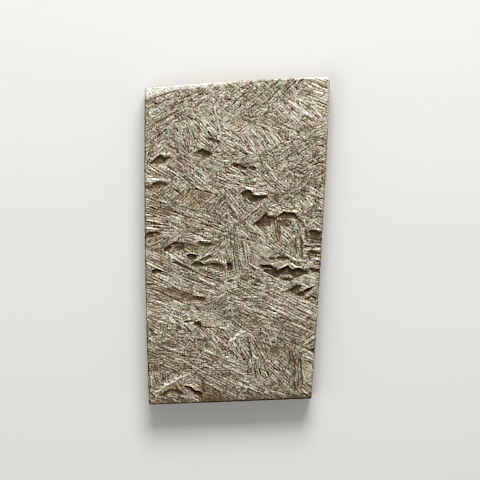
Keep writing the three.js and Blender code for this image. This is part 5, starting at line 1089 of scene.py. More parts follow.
class Face:
    """A face of the slice as a grid of places, with its relief and its markings.

    A and b are each place's distances from the left and bottom sides, before the outline bends
    them into x and y.
    """

    def __init__(self, a_lines, b_lines, z):
        self.snap = 0.5 * np.median(np.diff(a_lines))
        self.a, self.b = np.meshgrid(a_lines, b_lines)
        self.x, self.y = slice_place(self.a, self.b, np.full_like(self.a, z))
        self.relief = np.zeros_like(self.x)
        self.hollow = np.zeros_like(self.x)
        self.crest = np.zeros_like(self.x)
        self.rust = np.zeros_like(self.x)
        self.tone = np.zeros_like(self.x)
        self.etch = np.zeros_like(self.x)

    def settle(self, lines):
        """Moves each vertex near a line onto the strongest line there, so that lines stay crisp."""
        best = np.zeros_like(self.x)
        shift_x, shift_y = np.zeros_like(self.x), np.zeros_like(self.x)
        for line in lines:
            found = self.along_line(line)
            if found is None:
                continue
            part, along, across, half, turn = found
            near = (np.abs(across) < self.snap) & (np.abs(along) < half) & (abs(line.height) > best[part])
            best[part] = np.where(near, abs(line.height), best[part])
            shift_x[part] = np.where(near, across * math.sin(turn), shift_x[part])
            shift_y[part] = np.where(near, -across * math.cos(turn), shift_y[part])
        inner = smooth(0.1, 0.3, self.edge_distance())
        self.x += shift_x * inner
        self.y += shift_y * inner

    def edge_distance(self):
        """Distance from the nearest side."""
        ends = np.minimum(self.b, LENGTH - self.b)
        return np.minimum(np.minimum(self.a, WIDTH - self.a), ends)

    def along_line(self, line):
        """The vertices round a line, with how far along and across it each one is."""
        x = (line.x1 + line.x2) / 2
        y = (line.y1 + line.y2) / 2 - LINE_DROP - LINE_DROP_SHARE * line.breadth
        half = math.hypot(line.x2 - line.x1, line.y2 - line.y1) / 2
        part = self.window(x, y, half + 0.3)
        if part is None:
            return None
        turn = math.atan2(line.y2 - line.y1, line.x2 - line.x1)
        along, across = self.local(part, x, y, turn)
        return part, along, across, half, turn

    def window(self, x, y, reach):
        """The part of the grid within reach of a place, as a pair of slices."""
        near = (np.abs(self.x - x) < reach) & (np.abs(self.y - y) < reach)
        rows, columns = np.flatnonzero(near.any(axis=1)), np.flatnonzero(near.any(axis=0))
        if rows.size == 0:
            return None
        return slice(rows[0], rows[-1] + 1), slice(columns[0], columns[-1] + 1)

    def local(self, part, x, y, turn):
        """Distances along and across a line through a place."""
        dx, dy = self.x[part] - x, self.y[part] - y
        cos, sin = math.cos(turn), math.sin(turn)
        return dx * cos + dy * sin, dy * cos - dx * sin

    def draw_line(self, line):
        """Cuts a furrow or raises a ridge, widest in its middle and pointed at both ends."""
        found = self.along_line(line)
        if found is None:
            return
        part, along, across, half, turn = found
        taper = np.clip(1 - (along / half) ** 2, 0, 1) ** 0.5
        breadth = line.breadth / 2 * (0.5 + 0.5 * taper)
        profile = np.clip(1 - np.abs(across) / breadth, 0, 1) * np.minimum(1, taper * 1.6)
        profile = profile * (1 + 0.2 * value_noise(along / 0.3, across * 0 + line.x1, 6))
        raised = line.height > 0
        shape = line.height * profile * (1.0 if raised else FURROW_DEPTH)
        self.relief[part] = self.relief[part] + shape if raised else np.minimum(self.relief[part], shape)
        # The crest mark brightens ridges, partly for their brighter metal and partly as a painted
        # highlight; the hollow mark darkens furrows, partly for oxide and partly as painted shade, more
        # where they run down the slice
        strength = np.clip(profile * min(1.0, abs(line.height) / FULL_MARK_HEIGHT), 0, 1)
        weight = 1.0 if raised else FURROW_DARK + UPRIGHT_FURROW_DARK * abs(math.sin(turn))
        mark, other = (self.crest, self.hollow) if raised else (self.hollow, self.crest)
        mark[part] = np.maximum(mark[part], strength * weight)
        other[part] *= 1 - 0.8 * strength

    def draw_hollow(self, hollow):
        """Cuts a hollow inside its outline, with steep walls and a rough floor."""
        corners = np.array(hollow.outline)
        middle = (corners.min(axis=0) + corners.max(axis=0)) / 2
        part = self.window(*middle, np.ptp(corners, axis=0).max() / 2 + 0.5)
        if part is None:
            return
        spot = self.x[part] / WAVER_SIZE, self.y[part] / WAVER_SIZE
        x = self.x[part] + HOLLOW_WAVER * value_noise(*spot, 11)
        y = self.y[part] + HOLLOW_DROP + HOLLOW_WAVER * value_noise(*spot, 12)
        inside = signed_reach(corners, x, y) + 0.04
        shallow = hollow.depth < SHALLOW_DEPTH
        profile = smooth(-0.02, 0.3 if shallow else min(0.2, 0.8 * inside.max()), inside)
        rough = layered_noise(x / 0.22, y / 0.11, 13, 2)
        self.relief[part] -= 0.75 * hollow.depth * profile * (1 + 0.4 * rough)
        stain = smooth(-0.3, 0.35, inside) if shallow else smooth(-0.09, 0.06, inside)
        shade = stain * hollow.dark * (0.92 + 0.55 * rough)
        self.hollow[part] = np.maximum(self.hollow[part], shade)
        self.crest[part] *= 1 - 0.9 * smooth(-0.04, 0.06, inside) * min(1.0, hollow.dark)
        self.rust[part] = np.maximum(self.rust[part], (0.2 + 0.9 * hollow.rust) * stain)


def signed_reach(corners, x, y):
    """Distance inside a closed outline, negative outside it."""
    reach = np.full(x.shape, np.inf)
    crossings = np.zeros(x.shape, dtype=int)
    for (x1, y1), (x2, y2) in zip(corners, np.roll(corners, -1, axis=0)):
        run_x, run_y = x2 - x1, y2 - y1
        share = np.clip(((x - x1) * run_x + (y - y1) * run_y) / (run_x**2 + run_y**2), 0, 1)
        reach = np.minimum(reach, np.hypot(x - x1 - share * run_x, y - y1 - share * run_y))
        spans = (y1 > y) != (y2 > y)
        if run_y:
            crossings += spans & (x < x1 + run_x * (y - y1) / run_y)
    return np.where(crossings % 2 == 1, reach, -reach)


def zone_reach(zone, x, y):
    """Distance from a zone's middle, 1 on its ellipse."""
    turn = math.radians(zone.turn)
    dx, dy = x - zone.x, y - zone.y
    along = dx * math.cos(turn) + dy * math.sin(turn)
    across = dy * math.cos(turn) - dx * math.sin(turn)
    return np.hypot(along / zone.along, across / zone.across)


def nearest_zones(zones, x, y):
    """Number of the zone that each place is in, with wavering borders."""
    reaches = np.stack([zone_reach(zone, x, y) for zone in zones])
    wavers = [value_noise(x / 0.9 + 3.1 * number, y / 0.9, 70 + number) for number in range(len(zones))]
    return (reaches + 0.2 * np.stack(wavers)).argmin(axis=0)


def hatch_lines(zones, spacing, pitch, breadth, seed):
    """Packets of parallel furrows and ridges that follow the lay of the zone they are in."""
    random = np.random.default_rng(SEED + seed)
    lines = []
    for y in np.arange(-LENGTH / 2, LENGTH / 2, spacing):
        for x in np.arange(-WIDTH / 2, WIDTH / 2, spacing):
            middle_x = x + random.uniform(0, spacing)
            middle_y = y + random.uniform(0, spacing)
            zone = zones[nearest_zones(zones, np.array([middle_x]), np.array([middle_y]))[0]]
            crosses = random.uniform() < 0.5 * (1 - zone.needles)
            turn = zone.turn + (zone.cross if crosses else 0.0)
            lean = math.radians(turn + random.normal(0, 4))
            for step in range(-2, 3):
                length = random.uniform(0.3, 0.9) * (1 + zone.needles)
                shift = random.uniform(-0.4, 0.4)
                offset = pitch * (step + random.uniform(-0.2, 0.2))
                line_x = middle_x + shift * math.cos(lean) - offset * math.sin(lean)
                line_y = middle_y + shift * math.sin(lean) + offset * math.cos(lean)
                dx, dy = math.cos(lean) * length / 2, math.sin(lean) * length / 2
                height = zone.depth * random.uniform(0.015, 0.045)
                # Ridges are fewer than furrows, and lower
                sign = 0.7 if random.uniform() < 0.4 else -1
                size = breadth * random.uniform(0.8, 1.3)
                lines.append(
                    Line(line_x - dx, line_y - dy, line_x + dx, line_y + dy, size, sign * height)
                )
    return lines


def edge_drop(distance):
    """How far the rounded edge has dropped below the land, at a distance from the side."""
    share = np.clip(1 - distance / EDGE_ROUND, 0, 1)
    return EDGE_ROUND * (1 - np.sqrt(1 - share**2))


def zone_values(zones, name, x, y):
    """One of the zones' values at each place."""
    return np.array([getattr(zone, name) for zone in zones])[nearest_zones(zones, x, y)]


# How wide the painted highlight along the top edge's bevel is, at places along X
TOP_EDGE_HIGHLIGHT = [
    (-8.65, 1.15), (-7.5, 1.0), (-6.0, 0.7), (-1.0, 0.5), (0.0, 0.22), (6.8, 0.2), (7.4, 0.4),
    (8.65, 0.45),
]


def paint_edge_light_and_shade(face):
    """Paints light and shade on the edges. The top edge's bevel gets a painted highlight, widest at its
    left end, and fainter etch; the right edge gets a painted highlight near the top, and the left and
    bottom edges get painted shade.
    """
    waver = 0.1 * layered_noise(face.x / 0.5, face.y / 0.5, 33)
    top = LENGTH - face.b
    width = np.interp(face.x, *zip(*TOP_EDGE_HIGHLIGHT)) + waver
    # Painted highlight along the top edge's bevel, where the etch is also fainter
    face.tone += 0.95 * smooth(0, 0.25, width - top)
    face.etch *= 1 - 0.6 * smooth(0, 0.25, width - top)
    right = WIDTH - face.a
    # Painted highlight on the right edge near the top
    face.tone += 0.5 * smooth(0, 0.12, 0.2 + waver - right) * smooth(9.5, 11.0, face.y)
    # Painted shade along the left edge below the top corner, and along the bottom edge
    face.hollow += 0.35 * smooth(0, 0.1, 0.16 + waver - face.a) * (1 - smooth(12.6, 13.8, face.y))
    face.hollow += 0.4 * smooth(0, 0.3, 0.4 + 1.5 * waver - face.b)
    face.tone -= 0.3 * smooth(0, 0.6, 0.9 - face.b)


def build_front(a_lines, b_lines):
    """The front face: hatch and furrows first, then the hollows, and the ridges over both."""
    face = Face(a_lines, b_lines, THICKNESS)
    # Each field's tone is a painted sheen: how brightly its crystals catch the light
    face.tone += 0.6 * zone_values(FRONT_ZONES, "tone", face.x, face.y)
    face.etch += zone_values(FRONT_ZONES, "depth", face.x, face.y)
    hatch = hatch_lines(FRONT_ZONES, 1.1, 0.28, 0.16, 1)
    face.settle(hatch + FRONT_FURROWS + FRONT_RIDGES)
    for line in hatch + FRONT_FURROWS:
        face.draw_line(line)
    for hollow in FRONT_HOLLOWS:
        face.draw_hollow(hollow)
    for line in FRONT_RIDGES:
        face.draw_line(line)
    paint_edge_light_and_shade(face)
    face.etch *= 1 - 0.6 * np.clip(face.crest + face.hollow, 0, 1)
    face.relief += 0.02 * layered_noise(face.x / 2.5, face.y / 2.5, 20)
    face.tone += 0.08 * layered_noise(face.x / 1.7, face.y / 1.7, 24)
    face.rust += 0.25 * smooth(0.25, 0.8, layered_noise(face.x / 1.9, face.y / 1.3, 28))
    # Towards the bottom end the metal is browner, and darker with painted shade for the light that dims
    # towards that end
    face.rust += 0.12 * (1 - smooth(-13, -6, face.y))
    face.tone -= 0.1 * (1 - smooth(-14, -2, face.y))
    return face


def build_back(a_lines, b_lines):
    """The back face, with wider hatch and a few hollows."""
    face = Face(a_lines, b_lines, 0.0)
    # Each field's tone is a painted sheen: how brightly its crystals catch the light
    face.tone += zone_values(BACK_ZONES, "tone", face.x, face.y)
    face.etch += zone_values(BACK_ZONES, "depth", face.x, face.y)
    lines = hatch_lines(BACK_ZONES, 1.9, 0.5, 0.3, 2)
    face.settle(lines)
    for line in lines:
        face.draw_line(line)
    for hollow in BACK_HOLLOWS:
        face.draw_hollow(hollow)
    face.relief += 0.015 * layered_noise(face.x / 3, face.y / 3, 21)
    face.tone += 0.12 * layered_noise(face.x / 1.7, face.y / 1.7, 25)
    face.rust += 0.35 * smooth(0.2, 0.8, layered_noise(face.x / 2.3, face.y / 1.9, 29))
    return face


def boundary(rows, columns):
    """Grid indices round the edge of a grid, anticlockwise from the bottom left."""
    bottom = [(0, i) for i in range(columns - 1)]
    right = [(j, columns - 1) for j in range(rows - 1)]
    top = [(rows - 1, i) for i in range(columns - 1, 0, -1)]
    left = [(j, 0) for j in range(rows - 1, 0, -1)]
    return np.array(bottom + right + top + left)


def grid_faces(index, values, flip):
    """Triangles of a grid of vertex numbers, facing up, or down where flip is set.

    Each square is split along the diagonal whose ends are more alike, so edges follow ridges.
    """
    a, b, c, d = index[:-1, :-1], index[:-1, 1:], index[1:, 1:], index[1:, :-1]
    rising = np.abs(values[:-1, :-1] - values[1:, 1:]) <= np.abs(values[:-1, 1:] - values[1:, :-1])
    first = np.where(rising[..., None], np.stack([a, b, c], axis=-1), np.stack([a, b, d], axis=-1))
    second = np.where(rising[..., None], np.stack([a, c, d], axis=-1), np.stack([b, c, d], axis=-1))
    triangles = np.stack([first, second], axis=2).reshape(-1, 3)
    return triangles[:, ::-1] if flip else triangles


def on_ring(values, ring):
    """A face's values at the vertices round its edge."""
    return values[ring[:, 0], ring[:, 1]]


class SliceMesh:
    """The front and back faces, joined by the sawn sides into one closed mesh."""

    def __init__(self, front, back):
        self.front, self.back = front, back
        self.ring, self.back_ring = boundary(*front.x.shape), boundary(*back.x.shape)
        self.steps = len(self.ring)
        self.front_index = np.arange(front.x.size).reshape(front.x.shape)
        self.back_index = front.x.size + np.arange(back.x.size).reshape(back.x.shape)
        start = front.x.size + back.x.size
        sides = [start + self.steps * row + np.arange(self.steps) for row in range(SIDE_ROWS - 1)]
        self.rings = [on_ring(self.front_index, self.ring)] + sides
        self.low_ring = on_ring(self.back_index, self.back_ring)

        distance, back_distance = front.edge_distance(), back.edge_distance()
        # The relief is weaker near the front's edge
        self.calm = smooth(0.0, 0.3, distance)
        land = THICKNESS - RIDGE_ROOM + front.relief * (0.35 + 0.65 * self.calm)
        self.front_z = np.minimum(land, THICKNESS) - edge_drop(distance)
        self.back_z = np.maximum(-back.relief, 0) + edge_drop(back_distance)
        self.places = self.all_places()
        self.triangles = self.all_triangles()

    def side_values(self, front_values, back_values):
        """Values on the rows of the sides, which run evenly from the front's edge to the back's."""
        top, coarse = on_ring(front_values, self.ring), on_ring(back_values, self.back_ring)
        bottom = np.stack([coarse, (coarse + np.roll(coarse, -1)) / 2], axis=1).ravel()
        shares = np.arange(1, SIDE_ROWS)[:, None] / SIDE_ROWS
        return top * (1 - shares) + bottom * shares

    def all_places(self):
        """The places of the front's vertices, then the back's and the sides'."""
        side_z = self.side_values(self.front_z, self.back_z)
        a = np.broadcast_to(on_ring(self.front.a, self.ring), side_z.shape)
        b = np.broadcast_to(on_ring(self.front.b, self.ring), side_z.shape)
        side_x, side_y = slice_place(a, b, side_z)
        parts = [
            (self.front.x, self.front.y, self.front_z),
            (self.back.x, self.back.y, self.back_z),
            (side_x, side_y, side_z),
        ]
        return np.concatenate([np.stack(part, axis=-1).reshape(-1, 3) for part in parts])

    def all_triangles(self):
        """The triangles of the front, then the back's and the sides', all facing outward."""
        front_folds = self.front_z + 0.1 * (self.front.crest - self.front.hollow)
        back_folds = self.back_z + 0.1 * (self.back.hollow - self.back.crest)
        parts = [
            grid_faces(self.front_index, front_folds, False),
            grid_faces(self.back_index, back_folds, True),
        ]
        self.front_end = len(parts[0])
        self.back_end = self.front_end + len(parts[1])
        for upper, lower in zip(self.rings, self.rings[1:]):
            parts.append(np.stack([lower, np.roll(lower, -1), np.roll(upper, -1)], axis=1))
            parts.append(np.stack([lower, np.roll(upper, -1), upper], axis=1))
        last, low, low_next = self.rings[-1], self.low_ring, np.roll(self.low_ring, -1)
        first, middle, end = last[0::2], last[1::2], np.roll(last, -2)[0::2]
        parts.append(np.stack([low, middle, first], axis=1))
        parts.append(np.stack([low, low_next, middle], axis=1))
        parts.append(np.stack([low_next, end, middle], axis=1))
        return np.concatenate(parts)

    def map_spots(self):
        """Each corner's spot on the bake map: front, back and sides laid out side by side."""
        margin, front_size, back_size = 0.005, 0.98, 0.7
        second_column = 0.58
        strips_low, strip_pitch, strip_length, strip_height = 0.73, 0.066, 0.397, 0.055
        flat = self.places[self.triangles][..., :2] - LOW[:2]
        spots = margin + front_size / LENGTH * flat
        back = slice(self.front_end, self.back_end)
        spots[back, :, 0] = second_column + back_size / LENGTH * (WIDTH - flat[back, :, 0])
        spots[back, :, 1] = margin + back_size / LENGTH * flat[back, :, 1]

        step, level = np.zeros(len(self.places)), np.ones(len(self.places))
        for row, ring in enumerate(self.rings):
            step[ring] = np.arange(self.steps)
            level[ring] = row / SIDE_ROWS
        step[self.low_ring] = 2 * np.arange(len(self.low_ring))
        sides = self.triangles[self.back_end:]
        turn = step[sides] * 4 / self.steps
        turn += 4 * ((turn < 1) & (turn.max(axis=1, keepdims=True) > 3))
        strip = np.floor(turn.min(axis=1, keepdims=True) + 0.0001)
        spots[self.back_end:, :, 0] = second_column + strip_length * (turn - strip)
        spots[self.back_end:, :, 1] = strips_low + strip_pitch * strip + strip_height * level[sides]
        return spots

    def lays(self):
        """Each triangle's lay: the turns of its main and crossing lamellae, and how needle-like."""
        middles = self.places[self.triangles].mean(axis=1)
        lay = np.zeros((len(self.triangles), 3))
        front, back = slice(0, self.front_end), slice(self.front_end, self.back_end)
        sides = slice(self.back_end, None)
        for zones, part in [(FRONT_ZONES, front), (BACK_ZONES, back), (FRONT_ZONES, sides)]:
            number = nearest_zones(zones, middles[part, 0], middles[part, 1])
            turns = [(math.radians(zone.turn), math.radians(zone.turn + zone.cross)) for zone in zones]
            lay[part, :2] = np.array(turns)[number]
            lay[part, 2] = np.array([zone.needles for zone in zones])[number]
        return lay

    def mesh(self):
        """The mesh, with its bake map and its markings."""
        mesh = bpy.data.meshes.new("meteorite_slice_surface")
        corners = self.triangles.size
        mesh.vertices.add(len(self.places))
        mesh.vertices.foreach_set("co", (self.places * MM).astype(np.float32).ravel())
        mesh.loops.add(corners)
        mesh.loops.foreach_set("vertex_index", self.triangles.astype(np.int32).ravel())
        mesh.polygons.add(len(self.triangles))
        mesh.polygons.foreach_set("loop_start", np.arange(0, corners, 3, dtype=np.int32))
        mesh.update(calc_edges=True)
        mesh.polygons.foreach_set("use_smooth", np.ones(len(self.triangles), dtype=bool))
        bake_map = mesh.uv_layers.new(name="OFBake")
        bake_map.data.foreach_set("uv", self.map_spots().astype(np.float32).ravel())

        front, back = self.front, self.back
        self.store(mesh, "hollow", front.hollow, back.hollow, 0.0, 0.5)
        self.store(mesh, "crest", front.crest, back.crest, 0.0, 0.4)
        self.store(mesh, "rust", np.clip(front.rust, 0, 1), np.clip(back.rust, 0, 1), 0.25, 0.5)
        self.store(mesh, "tone", front.tone, back.tone, 0.0, 0.5)
        self.store(mesh, "etch", front.etch * self.calm, back.etch, 0.3, 0.4)
        lay = mesh.attributes.new("lay", "FLOAT_VECTOR", "FACE")
        lay.data.foreach_set("vector", self.lays().astype(np.float32).ravel())
        sawn = mesh.attributes.new("sawn", "BOOLEAN", "FACE")
        sawn.data.foreach_set("value", np.arange(len(self.triangles)) >= self.back_end)
        return mesh

    def store(self, mesh, name, front_values, back_values, added, kept):
        """Writes a marking. The sides keep a share of their edges' values and add one of their own."""
        sides = added + kept * self.side_values(front_values, back_values)
        values = np.concatenate([front_values.ravel(), back_values.ravel(), sides.ravel()])
        attribute = mesh.attributes.new(name, "FLOAT", "POINT")
        attribute.data.foreach_set("value", values.astype(np.float32))


def build_slice():
    """The slice as one closed mesh, with its markings as attributes."""
    a_lines, b_lines = grid_lines(WIDTH), grid_lines(LENGTH)
    return SliceMesh(build_front(a_lines, b_lines), build_back(a_lines[::2], b_lines[::2])).mesh()


class Nodes:
    """Adds nodes to a tree and links them, so that the trees below read as sums."""

    def __init__(self, tree):
        self.tree = tree

    def feed(self, socket, value):
        if isinstance(value, bpy.types.NodeSocket):
            self.tree.links.new(value, socket)
        else:
            socket.default_value = value

    def add(self, kind, inputs=(), **settings):
        node = self.tree.nodes.new(kind)
        for name, value in settings.items():
            setattr(node, name, value)
        for name, value in dict(inputs).items():
            self.feed(node.inputs[name], value)
        return node

    def math(self, operation, first, second=0.0):
        return self.add("ShaderNodeMath", {0: first, 1: second}, operation=operation).outputs[0]

    def vector(self, operation, first, second):
        node = self.add("ShaderNodeVectorMath", {0: first, 1: second}, operation=operation)
        return node.outputs[0]

    def scaled(self, vector, scale):
        node = self.add("ShaderNodeVectorMath", {0: vector, "Scale": scale}, operation="SCALE")
        return node.outputs[0]

    def total(self, start, terms):
        for value, share in terms:
            start = self.math("ADD", start, self.math("MULTIPLY", value, share))
        return start

    def remap(self, value, low, high, to_low=0.0, to_high=1.0):
        limits = {"Value": value, "From Min": low, "From Max": high, "To Min": to_low, "To Max": to_high}
        return self.add("ShaderNodeMapRange", limits).outputs[0]


def field_group(name, kind):
    """The lamella field as a node group, for materials or for Geometry Nodes.

    The lamellae are needles in straight rows, with grooves between the rows and at their ends.
    The rows stand on edge and dip into the slice, so the same field runs on over the rounded
    edges and down the sides.
    """
    tree = bpy.data.node_groups.new(name, kind)
    tree.interface.new_socket("Place", in_out="INPUT", socket_type="NodeSocketVector")
    for size in ("Turn", "Dip", "Length", "Width", "Groove share", "Weakest groove", "Bend"):
        tree.interface.new_socket(size, in_out="INPUT", socket_type="NodeSocketFloat")
    for result in ("Streaks", "Plates", "Grooves", "Packets"):
        tree.interface.new_socket(result, in_out="OUTPUT", socket_type="NodeSocketFloat")
    nodes = Nodes(tree)
    inputs = nodes.add("NodeGroupInput").outputs
    outputs = nodes.add("NodeGroupOutput").inputs

    angles = nodes.add("ShaderNodeCombineXYZ", {"X": inputs["Dip"], "Z": inputs["Turn"]}).outputs[0]
    turned = nodes.add(
        "ShaderNodeVectorRotate",
        {"Vector": inputs["Place"], "Rotation": angles},
        rotation_type="EULER_XYZ",
        invert=True,
    ).outputs[0]
    size = nodes.add(
        "ShaderNodeCombineXYZ", {"X": inputs["Length"], "Y": inputs["Width"], "Z": inputs["Length"]}
    ).outputs[0]
    place = nodes.vector("DIVIDE", turned, size)
    streaks = nodes.add(
        "ShaderNodeTexNoise",
        {"Vector": nodes.vector("MULTIPLY", place, (1.0, 2.0, 1.0)), "Scale": 1.0, "Detail": 1.5},
    ).outputs[0]
    bend = nodes.add(
        "ShaderNodeTexNoise",
        {"Vector": nodes.vector("MULTIPLY", place, (0.8, 0.45, 0.8)), "Scale": 1.0, "Detail": 1.0},
    ).outputs[0]

    parts = nodes.add("ShaderNodeSeparateXYZ", {0: place}).outputs
    sway = nodes.math("MULTIPLY", nodes.remap(bend, 0.25, 0.75, -1.0, 1.0), inputs["Bend"])
    across = nodes.math("ADD", parts["Y"], sway)
    row = nodes.math("FLOOR", across)
    row_random = nodes.add("ShaderNodeTexWhiteNoise", {"W": row}, noise_dimensions="1D").outputs["Value"]
    stretch = nodes.remap(row_random, 0.0, 1.0, 0.6, 1.5)
    row_start = nodes.math("MULTIPLY", row_random, 57.0)
    along = nodes.math("ADD", nodes.math("MULTIPLY", parts["X"], stretch), row_start)
    needle = nodes.math("FLOOR", along)
    spot = nodes.add("ShaderNodeCombineXYZ", {"X": row, "Y": needle}).outputs[0]
    needle_random = nodes.add("ShaderNodeTexWhiteNoise", {"Vector": spot}, noise_dimensions="2D")
    randoms = nodes.add("ShaderNodeSeparateXYZ", {0: needle_random.outputs["Color"]}).outputs

    def edge_gap(value):
        """Distance to the nearest whole number."""
        whole = nodes.math("SUBTRACT", value, nodes.math("FLOOR", value))
        return nodes.math("MINIMUM", whole, nodes.math("SUBTRACT", 1.0, whole))

    end_gap = nodes.math("MULTIPLY", edge_gap(along), 3.0)
    gap = nodes.math("MINIMUM", edge_gap(across), end_gap)
    groove = nodes.remap(gap, 0.0, inputs["Groove share"], 1.0, 0.0)
    strength = nodes.remap(randoms["Y"], 0.1, 0.9, inputs["Weakest groove"], 1.0)
    packet_place = nodes.vector("MULTIPLY", place, (0.55, 0.28, 0.55))
    packets = nodes.add("ShaderNodeTexVoronoi", {"Vector": packet_place, "Scale": 1.0})
    packet = nodes.add("ShaderNodeSeparateXYZ", {0: packets.outputs["Color"]}).outputs["X"]
    nodes.feed(outputs["Streaks"], nodes.remap(streaks, 0.3, 0.7, -1.0, 1.0))
    nodes.feed(outputs["Plates"], nodes.remap(randoms["X"], 0.0, 1.0, -1.0, 1.0))
    nodes.feed(outputs["Grooves"], nodes.math("MULTIPLY", groove, strength))
    nodes.feed(outputs["Packets"], packet)
    return tree


def two_lays(nodes, group_kind, group, place, lay, sizes):
    """The lamella field: packets of the main lay, and some of the one that crosses it."""
    parts = nodes.add("ShaderNodeSeparateXYZ", {0: lay}).outputs
    fields = []
    length = nodes.remap(parts["Z"], 0.0, 1.0, sizes["shortest"], sizes["longest"])
    weakest = nodes.remap(parts["Z"], 0.0, 1.0, 0.15, 0.6)
    bend = nodes.remap(parts["Z"], 0.0, 1.0, 0.45, 0.25)
    # The two lays dip into the slice in opposite ways
    for turn, dip in ((parts["X"], 0.5), (parts["Y"], -0.4)):
        values = {
            "Place": place,
            "Turn": turn,
            "Dip": dip,
            "Length": length,
            "Width": sizes["width"],
            "Groove share": sizes["groove"],
            "Weakest groove": weakest,
            "Bend": bend,
        }
        fields.append(nodes.add(group_kind, values, node_tree=group).outputs)
    main, crossing = fields
    share = nodes.remap(parts["Z"], 0.0, 1.0, 0.5, 0.06)
    crosses = nodes.math("LESS_THAN", main["Packets"], share)
    weave = nodes.remap(parts["Z"], 0.0, 0.8, 0.7, 0.0)
    field = {}
    for name in ("Streaks", "Plates", "Grooves"):
        first, second = main[name], crossing[name]
        if name == "Grooves":
            under = [nodes.math("MULTIPLY", groove, weave) for groove in (first, second)]
            first = nodes.math("MAXIMUM", first, under[1])
            second = nodes.math("MAXIMUM", second, under[0])
        field[name] = nodes.add("ShaderNodeMix", {"Factor": crosses, "A": first, "B": second}).outputs[0]
    return field


def etched_relief(group, etched, sawn):
    """Geometry Nodes that raise the finest lamellae out of the drawn relief."""
    tree = bpy.data.node_groups.new("etched_relief", "GeometryNodeTree")
    tree.interface.new_socket("Geometry", in_out="INPUT", socket_type="NodeSocketGeometry")
    for name in ("Streak height", "Groove depth"):
        tree.interface.new_socket(name, in_out="INPUT", socket_type="NodeSocketFloat")
    tree.interface.new_socket("Geometry", in_out="OUTPUT", socket_type="NodeSocketGeometry")
    nodes = Nodes(tree)
    inputs = nodes.add("NodeGroupInput").outputs
    place = nodes.add("GeometryNodeInputPosition").outputs[0]
    lay = nodes.add("GeometryNodeInputNamedAttribute", {"Name": "lay"}, data_type="FLOAT_VECTOR")
    etch = nodes.add("GeometryNodeInputNamedAttribute", {"Name": "etch"}, data_type="FLOAT")
    side = nodes.add("GeometryNodeInputNamedAttribute", {"Name": "sawn"}, data_type="BOOLEAN")
    field = two_lays(nodes, "GeometryNodeGroup", group, place, lay.outputs[0], LAMELLA_SIZES)
    streak = nodes.math("MULTIPLY", field["Streaks"], inputs["Streak height"])
    groove = nodes.math("MULTIPLY", field["Grooves"], inputs["Groove depth"])
    height = nodes.math("MULTIPLY", nodes.math("SUBTRACT", streak, groove), etch.outputs[0])
    offset = nodes.scaled(nodes.add("GeometryNodeInputNormal").outputs[0], height)
    moved = nodes.add("GeometryNodeSetPosition", {"Geometry": inputs["Geometry"], "Offset": offset})
    real = nodes.add("GeometryNodeRealizeInstances", {"Geometry": moved.outputs[0]})
    face = nodes.add("GeometryNodeSetMaterial", {"Geometry": real.outputs[0], "Material": etched})
    edge = nodes.add(
        "GeometryNodeSetMaterial",
        {"Geometry": face.outputs[0], "Selection": side.outputs[0], "Material": sawn},
    )
    nodes.add("NodeGroupOutput", {"Geometry": edge.outputs[0]})
    return tree


def finished_piece(mesh, tree, heights):
    """The drawn mesh with its finest relief applied, as a plain mesh object."""
    drawn = bpy.data.objects.new("drawn_slice", mesh)
    bpy.context.scene.collection.objects.link(drawn)
    modifier = drawn.modifiers.new("etched_relief", "NODES")
    modifier.node_group = tree
    for item in tree.interface.items_tree:
        if item.in_out == "INPUT" and item.name in heights:
            modifier[item.identifier] = heights[item.name]
    evaluated = drawn.evaluated_get(bpy.context.evaluated_depsgraph_get())
    result = bpy.data.meshes.new_from_object(evaluated)
    result.name = "meteorite_slice_mesh"
    drawn.modifiers.clear()
    bpy.data.objects.remove(drawn)
    places = np.empty(len(result.vertices) * 3, dtype=np.float32)
    result.vertices.foreach_get("co", places)
    places = places.reshape(-1, 3)
    places = np.clip(places, LOW * MM, HIGH * MM)
    result.vertices.foreach_set("co", places.ravel())
    result.update()
    piece = bpy.data.objects.new("etched_slice", result)
    bpy.context.scene.collection.objects.link(piece)
    return piece


# The metal's colours, from the darkest hollow to the brightest crest
METAL_TONES = [
    (0.0, (0.056, 0.039, 0.021)),
    (0.25, (0.12, 0.089, 0.048)),
    (0.5, (0.345, 0.305, 0.228)),
    (0.75, (0.57, 0.548, 0.485)),
    (1.0, (0.68, 0.685, 0.67)),
]

# What multiplies those colours in warm and green patches of the metal, and where it rusts
WARM_TINT = (1.0, 0.92, 0.95)
GREEN_TINT = (0.94, 0.99, 0.9)
RUST_TINT = (0.82, 0.66, 0.42)


